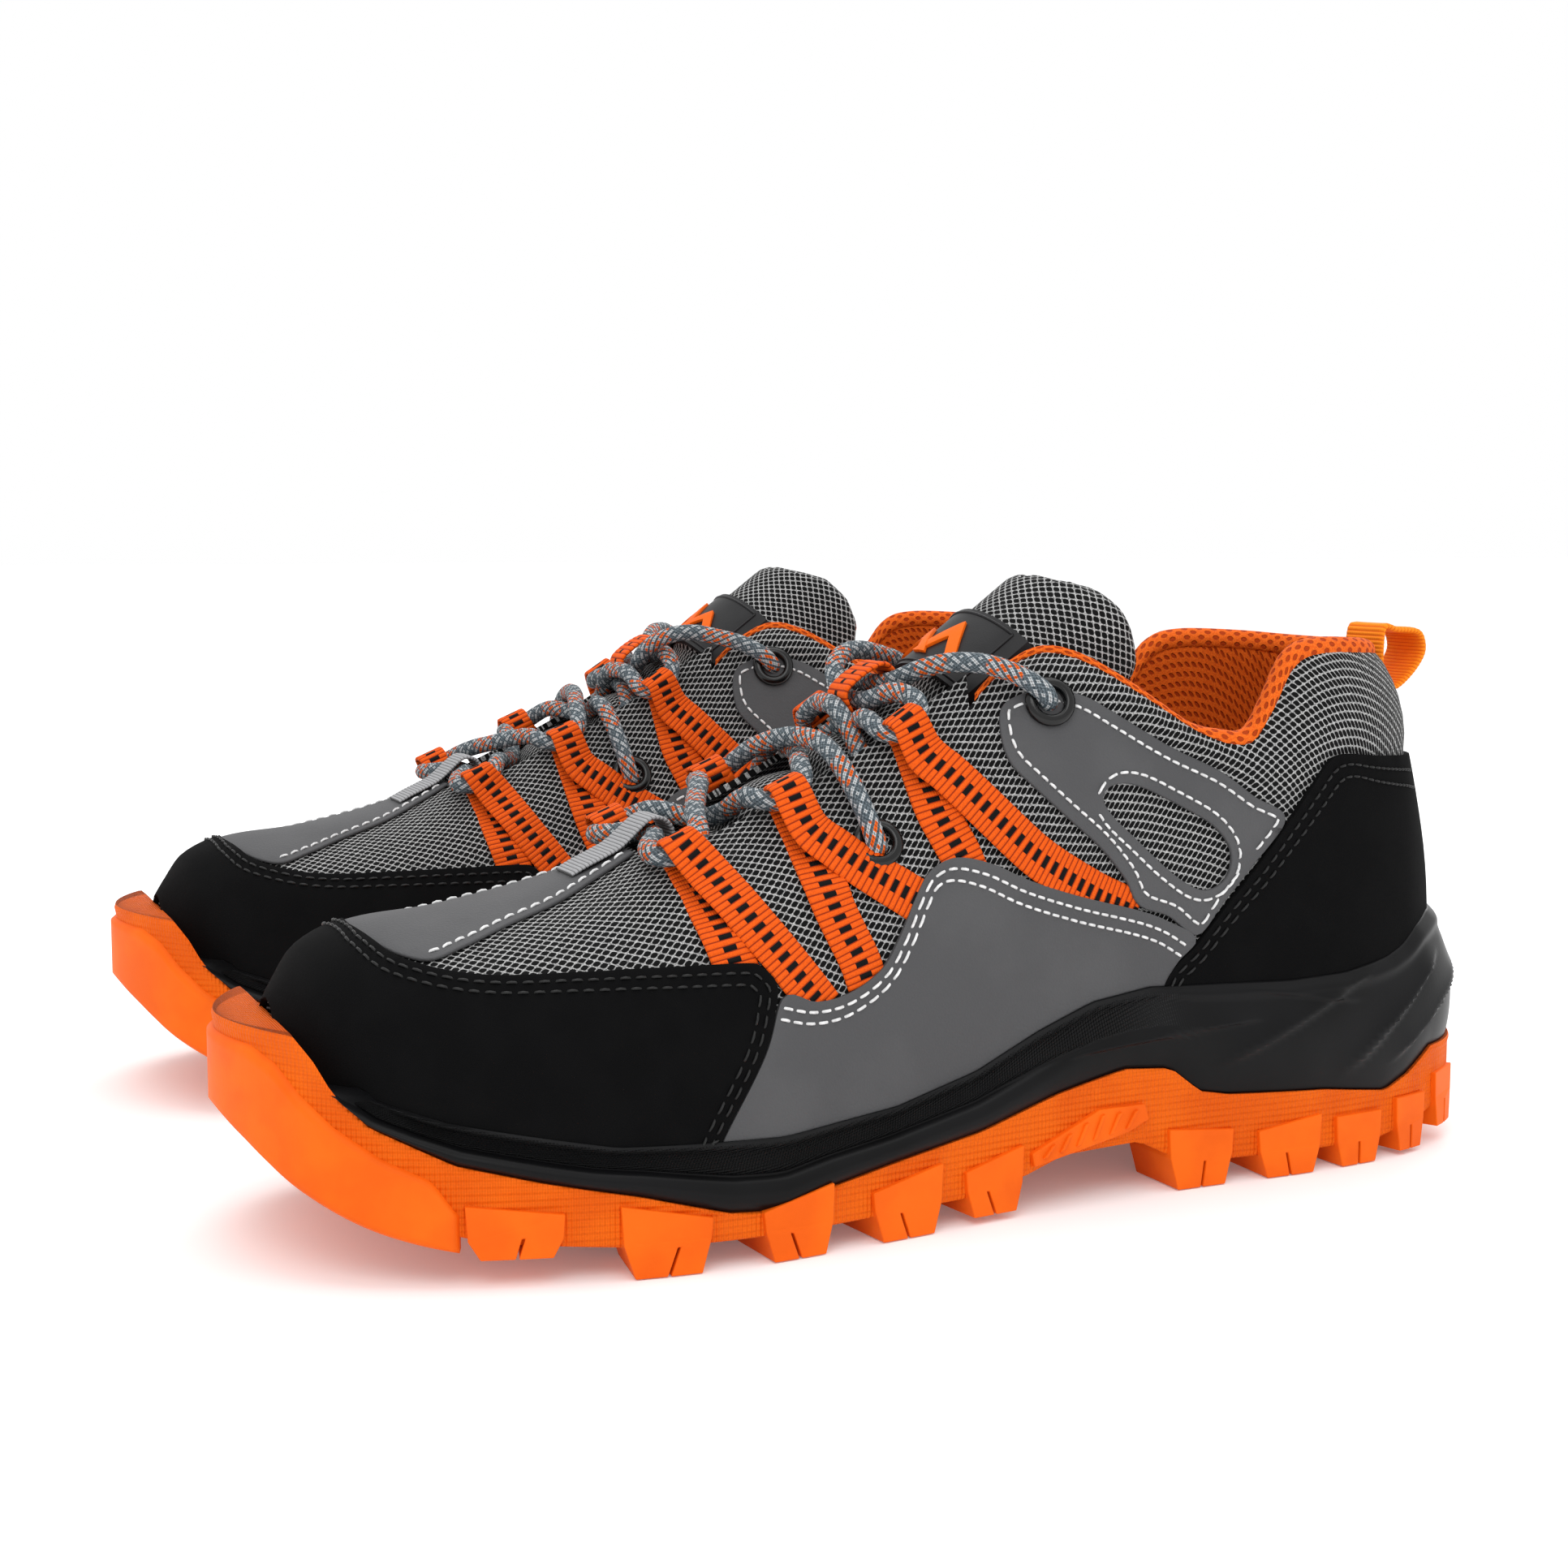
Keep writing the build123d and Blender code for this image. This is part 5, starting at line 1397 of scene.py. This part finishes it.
def make_pull_loop():
    """Yellow webbing loop off the back of the collar."""
    line = [
        (131.2, 109.0), (134.9, 107.6), (139.6, 110.9), (143.0, 115.4), (143.1, 118.9), (141.2, 121.2),
        (135.5, 121.7), (131.2, 121.6),
    ]
    stations = [((x, 0, z), (0, 1, 0), 14.6) for x, z in line]
    ribbon("pull_loop", stations, YELLOW_WEBBING, 1.5, 1.0, 0.18, closed=True, body=PULL_LOOP,
           **stands_for("pull_loop", "yellow_webbing"))


# ---- lace: routes of (place along the boot, distance from the middle, height over the upper) ------
LACE_START = (-57, 0, 0.1)
LACE_OVER = [
    (-57.4, 6.5, 0.6), (-61.6, 13, 2.8), (-62, 20.3, 4.4), (-57, 23.2, 4.4), (-52, 20.3, 4.4),
    (-50, 12, 3.2), (-46.8, 3.5, 2.0), (-43.4, -4, 2.0), (-39.5, -12, 3.2),
    (-38, -19.3, 4.4), (-33, -22.2, 4.4), (-28, -19.3, 4.4), (-26.6, -12, 3.2),
    (-24.6, -3.5, 2.0), (-22.6, 4, 2.0), (-20.8, 13, 3.4), (-20, 22, 4.0),
    (-19.2, 31, 4.3), (-18, 33.6, -0.1), (-16.8, 31, -4.4), (-15.6, 22, -4.4), (-14.4, 13, -3.6),
    (-13.2, 4, 1.8), (-12, -4, 1.9), (-10.8, -12.5, 3.2),
    (-10.5, -20.3, 4.4), (-5.5, -23.2, 4.4), (-0.5, -20.3, 4.4),
]
LACE_UNDER = [
    (-57.4, 6.5, 0.6), (-61.6, 13, 2.8), (-62, 20.3, 4.4), (-57, 23.2, 4.4), (-52, 20.3, 4.4),
    (-50, 12.5, 2.2), (-47, 4.5, -3.5), (-43.2, -4.5, -3.5), (-39.5, -12.5, 2.0),
    (-38, -19.3, 4.4), (-33, -22.2, 4.4), (-28, -19.3, 4.4), (-26.6, -12.5, 2.2),
    (-24.8, -4.5, -3.5), (-22.4, 4.5, -3.5), (-20.8, 12.5, 2.0), (-20, 21.5, 4.0),
    (-19.2, 31, 4.3), (-18, 33.6, -0.1), (-16.8, 31, -4.4), (-15.6, 22, -4.4), (-14.4, 13, -4.2),
    (-13.2, 4.5, -3.8), (-12, -4.5, -3.6), (-10.8, -12.5, 1.8),
    (-10.5, -20.3, 4.4), (-5.5, -23.2, 4.4), (-0.5, -20.3, 4.4),
]
KEEPER_REAR = [
    (-0.9, 13, 3.0), (-2.4, 6.5, -0.4), (-2.9, 0.3, -1.0), (-0.8, -6.5, -0.2), (3.6, -12.5, 2.6),
    (9.6, -18.5, 4.6), (16, -24.2, 5.4), (22.2, -29.2, 5.2), (24.2, -30.6, 1.4), (24, -30.5, -2.8),
]
KEEPER_FRONT = [
    (-3.4, -13, 3.0), (-7.2, -6.5, -0.4), (-8.4, 0, -1.0), (-8, 6.5, 0.4), (-5.2, 11, 6.0),
    (0, 14.6, 9.2), (6.4, 18, 9.2), (12.6, 22.4, 6.6), (17.4, 25.6, 5.4), (22.2, 29.2, 5.2),
    (24.2, 30.6, 1.4), (24, 30.5, -2.8),
]


def spot(x, y, lift):
    """A point over the upper. The inner side is narrower, so y shrinks with it."""
    return skin([x], [over(x, abs(y), 1 if y > 0 else -1)], lift)[0]


def inside_wall(x, z, depth, side):
    """A point inside the boot at a height, the given depth in from the upper's surface."""
    ys, zs = roof_curve(x, side < 0, np.linspace(0, 1, 81))
    half = float(np.interp(max(z, zs[0]), zs, ys))
    return np.array([x, side * (half - depth), z])


def lace_route():
    """The laced part from the outer top eyelet to the inner one."""
    outer_half = [(x, -y, z) for x, y, z in LACE_OVER] + KEEPER_REAR
    route = list(reversed(outer_half)) + [LACE_START] + LACE_UNDER + KEEPER_FRONT
    return [spot(*point) for point in route]


def tail_route(side):
    """From a top eyelet down into the boot, forward on the footbed and back."""
    top = [spot(24, side * 30.5, -2.8), spot(24.2, side * 30.2, -9.5)]
    down = [inside_wall(x, z, 11.5, side) for x, z in ((27, 84), (28, 71), (24, 59), (16, 49.5))]
    plan = [(6, 25.5), (-10, 26.2), (-28, 25), (-46, 25.8), (-64, 23), (-79, 20.5), (-89, 15.5),
            (-91, 9), (-84, 5.5), (-70, 6.2), (-54, 8.6), (-38, 7.4), (-22, 8.8), (-6, 7.6), (8, 9)]
    floor = [np.array([x, side * y, float(section(x, 3)) + FOOT_TOP + LACE / 2 + 0.5]) for x, y in plan]
    return top + down + floor


BRAID_STRANDS = 8
AGLET_LENGTH = 14.0
LACED_M, TAIL_M = 0.6217, 0.2849     # lengths of the laced part and of each tail


def nurbs_line(route, name):
    """The smooth line with a route's points as its control points."""
    data = bpy.data.curves.new(name, "CURVE")
    data.dimensions = "3D"
    data.resolution_u = 12
    spline = data.splines.new("NURBS")
    spline.points.add(len(route) - 1)
    for point, place in zip(spline.points, route):
        point.co = (*place, 1)
    spline.order_u = 3
    spline.use_endpoint_u = True
    holder = bpy.data.objects.new(name, data)
    mesh = bpy.data.meshes.new_from_object(holder)
    line = np.array([v.co[:] for v in mesh.vertices])
    bpy.data.objects.remove(holder)
    bpy.data.meshes.remove(mesh)
    return line


def braided(name, route, node):
    """A round braided lace along a route, with the relief of its strands."""
    line = evenly(nurbs_line(route, name), 0.5)
    sides, place = 24, runs_along(line)[:, None]
    around = np.arange(sides) / sides * BRAID_STRANDS
    weave = np.cos(2 * math.pi * (place / BRAID_PITCH + around))
    weave *= np.cos(2 * math.pi * (place / BRAID_PITCH - around))
    rings = sweep(line, LACE / 2 * (0.955 + 0.05 * weave))
    uv = np.stack(np.broadcast_arrays(around, place), axis=2)
    obj = piece(name, rings.reshape(-1, 3), rod_faces(len(line), sides), BRAID, uv.reshape(-1, 2),
                **stands_for(node, "lace_braid"))
    layer = obj.data.uv_layers["mm"].data
    seam = sides - 1
    for face in obj.data.polygons:
        if len(face.vertices) == 4 and {v % sides for v in face.vertices} == {0, seam}:
            for loop in face.loop_indices:
                if obj.data.loops[loop].vertex_index % sides == 0:
                    layer[loop].uv[0] = BRAID_STRANDS
    return obj, line


CORDS = []


def make_laces():
    """The laced part and the two tails that lie inside the boot, each with its tip."""
    route = lace_route()
    obj, line = braided("lace_laced", route, "lace")
    CORDS.append((obj, line, route[0], LACED_M, "object", ()))
    for side, hand in HANDS:
        route = tail_route(side)
        obj, line = braided(f"lace_end_{hand}", route, f"lace_tail_{hand}")
        along = unit(line[-1] - line[-3])
        share = np.array([-0.05, 0.02, 0.06, 0.2, 0.5, 0.9, 0.97, 1.0])
        size = np.array([0.9, 1.0, 1.04, 0.98, 0.98, 0.98, 0.8, 0.3]) * (LACE / 2 - 0.35)
        spine = line[-1] + share[:, None] * AGLET_LENGTH * along
        rings = sweep(spine, np.repeat(size[:, None], 20, axis=1))
        tip = piece(f"lace_tip_{hand}", rings.reshape(-1, 3), rod_faces(len(spine), 20), TIP,
                    nodes=("aglets",) if side < 0 else (), slot="clear_plastic")
        CORDS.append((obj, line, route[0], TAIL_M, "fitting", (tip,)))


def make_footbed():
    """Fabric-covered insole, dished a little at its edges."""
    xs = np.linspace(-124, 135.5, 100)
    shares = np.linspace(-1, 1, 25)
    rows = []
    for x in xs:
        shrink = min(1.0, math.sqrt(max(0.02, (x + 126) / 12 if x < 0 else (136.5 - x) / 10)))
        outer, inner = (float(section(x, 1)) - 7.2) * shrink, (float(section(x, 2)) - 7.2) * shrink
        base = float(section(x, 3))
        y = np.where(shares < 0, shares * outer, shares * inner)
        top = base + 9.0 + 1.3 * np.abs(shares) ** 4 * (0.3 + 0.7 * (x > 40)) - 0.5 * (1 - shares**2)
        rows.append(np.stack(np.broadcast_arrays(x, y, top), axis=1))
        rows.append(np.stack(np.broadcast_arrays(x, y, base + 5.0), axis=1)[::-1])
    points = np.concatenate(rows)
    weld(piece("footbed_top", points, rod_faces(len(xs), 2 * len(shares)), FOOTBED, points[:, :2],
               **stands_for("footbed", "footbed_foam")))


def make_eyelets():
    """Turned black eyelets with a rolled flange."""
    profile = [
        (3.1, -1.2), (3.1, 0.9), (3.3, 1.5), (3.9, 1.75), (4.8, 1.55), (5.5, 1.0), (5.6, 0.4), (5.2, -0.1),
        (3.6, -0.2), (3.5, -1.2),
    ]
    turns = np.linspace(0, 2 * math.pi, 36, endpoint=False)
    for name, x, y, base in (("lower", -18, 32.6, 0.15), ("top", 24, 30.5, 1.45)):
        for side, hand in HANDS:
            low = spot(x, side * y, 0)
            up = unit(spot(x, side * y, 5) - low)
            a = unit(np.cross(up, (1, 0, 0)))
            b = np.cross(up, a)
            rings = [low + (h + base) * up + r * (np.cos(t) * a + np.sin(t) * b)
                     for t in turns for r, h in profile]
            first = (name, side) == ("lower", -1)
            weld(piece(f"eyelet_{name}_{hand}", rings, ring_faces(len(turns), len(profile)), METAL,
                       nodes=("eyelets",) if first else (), slot="black_metal"))


# ---- the far (right) boot and bodies ---------------------------------------------------------
def mirrored(obj):
    """The right boot's copy of a piece."""
    mesh = obj.data.copy()
    mesh.transform(Matrix.Scale(-1, 4, (0, 1, 0)))
    mesh.flip_normals()
    twin = add_object(obj.name.replace("left_", "right_"), mesh)
    for modifier in obj.modifiers:
        copy = twin.modifiers.new(modifier.name, modifier.type)
        for key in ("thickness", "offset", "width", "segments", "limit_method", "angle_limit"):
            if hasattr(modifier, key):
                setattr(copy, key, getattr(modifier, key))
    return twin


def row_frame(point, hand):
    """A left-boot point in millimetres as metres in the pair's frame, on either boot."""
    x, y, z = (float(v) * MM for v in point)
    y -= SPACING_M / 2
    return (x, y if hand == "left" else -y, z)


def place_pieces():
    twins = {}
    for obj, body, nodes, slot in PIECES:
        twins[obj] = {"left": obj, "right": mirrored(obj)}
        for hand, copy in twins[obj].items():
            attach(copy, f"{hand}_{body}")
            if nodes:
                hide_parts(*[f"{hand}_{node}" for node in nodes])
    for obj, line, exit_point, length, far_end, tips in CORDS:
        for hand in ("left", "right"):
            row_frame(exit_point, hand)
            [row_frame(p, hand) for p in line]


def finish_cad_nodes():
    """Materials for the stiffeners, board and label, which stay as they are in the CAD model."""
    looks = {"insole_board": BOARD, "toe_puff": BOARD, "heel_counter": BOARD, "tongue_label": LABEL}
    for hand in ("left", "right"):
        for node, look in looks.items():
            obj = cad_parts[f"{hand}_{node}"]
            if not obj.data.materials:
                obj.data.materials.append(look)
            for holder in obj.material_slots:
                holder.material = look


# ---- studio ----------------------------------------------------------------------------------
def make_camera():
    """Low three-quarter view from the toes' side."""
    yaw, pitch = 0.40695, 0.10603
    camera = add_object("camera", bpy.data.cameras.new("camera"))
    camera.data.lens = 53.29
    camera.data.sensor_width = 36
    camera.location = (-0.2276, -0.5440, 0.1442)
    ahead = Vector((math.sin(yaw) * math.cos(pitch), math.cos(yaw) * math.cos(pitch), -math.sin(pitch)))
    camera.rotation_euler = ahead.to_track_quat("-Z", "Y").to_euler()
    camera.data.clip_start = 0.01
    bpy.context.scene.camera = camera


def add_light(name, place, target, size, power):
    """A soft rectangular light turned to a target."""
    light = bpy.data.lights.new(name, "AREA")
    light.shape = "RECTANGLE"
    light.size, light.size_y = size
    light.energy = power
    obj = add_object(name, light)
    obj.location = place
    obj.rotation_euler = (Vector(target) - Vector(place)).to_track_quat("-Z", "Y").to_euler()


FLOOR = 12                  # half the floor's width in metres


def make_studio():
    """Pale floor, bright surround and three large soft lights."""
    world = bpy.data.worlds.new("surround")
    bpy.context.scene.world = world
    world.use_nodes = True
    backdrop = world.node_tree.nodes["Background"]
    backdrop.inputs["Color"].default_value = (1, 1, 1, 1)
    backdrop.inputs["Strength"].default_value = 1.0
    floor_mesh = bpy.data.meshes.new("floor")
    corners = [(-FLOOR, -FLOOR, 0), (FLOOR, -FLOOR, 0), (FLOOR, FLOOR, 0), (-FLOOR, FLOOR, 0)]
    floor_mesh.from_pydata(corners, [], [(0, 1, 2, 3)])
    floor = add_object("floor", floor_mesh)
    floor.location.z = -0.0002
    paper = Look("paper", 0.9, Specular_IOR_Level=0.1)
    paper.colour(paper.mix(paper.noise(900, 2), (0.93, 0.93, 0.93, 1), (0.95, 0.95, 0.95, 1)))
    paper.shader.inputs["Emission Color"].default_value = (1, 1, 1, 1)
    paper.shader.inputs["Emission Strength"].default_value = 0.1
    floor_mesh.materials.append(paper.material)
    add_light("key", (-0.5, -1.1, 1.25), (0, -0.05, 0.05), (1.0, 0.8), 6)
    add_light("top", (0.1, 0.1, 1.5), (0, 0, 0.05), (1.6, 1.2), 7)
    add_light("rim", (0.9, 0.9, 0.8), (0, 0, 0.06), (0.8, 0.8), 5)
    bpy.context.scene.view_settings.view_transform = "Standard"


make_camera()
make_laces()
make_outsole_shell()
make_lugs()
make_bumper()
make_shank()
make_midsole()
make_footbed()
make_upper()
make_lining()
make_collar_edge()
make_nubuck()
make_vamp_strip()
make_side_overlays()
make_webbing()
make_eyelets()
make_tongue()
make_tongue_top()
make_label_details()
make_keeper_and_tab()
make_pull_loop()
finish_cad_nodes()
place_pieces()
make_studio()
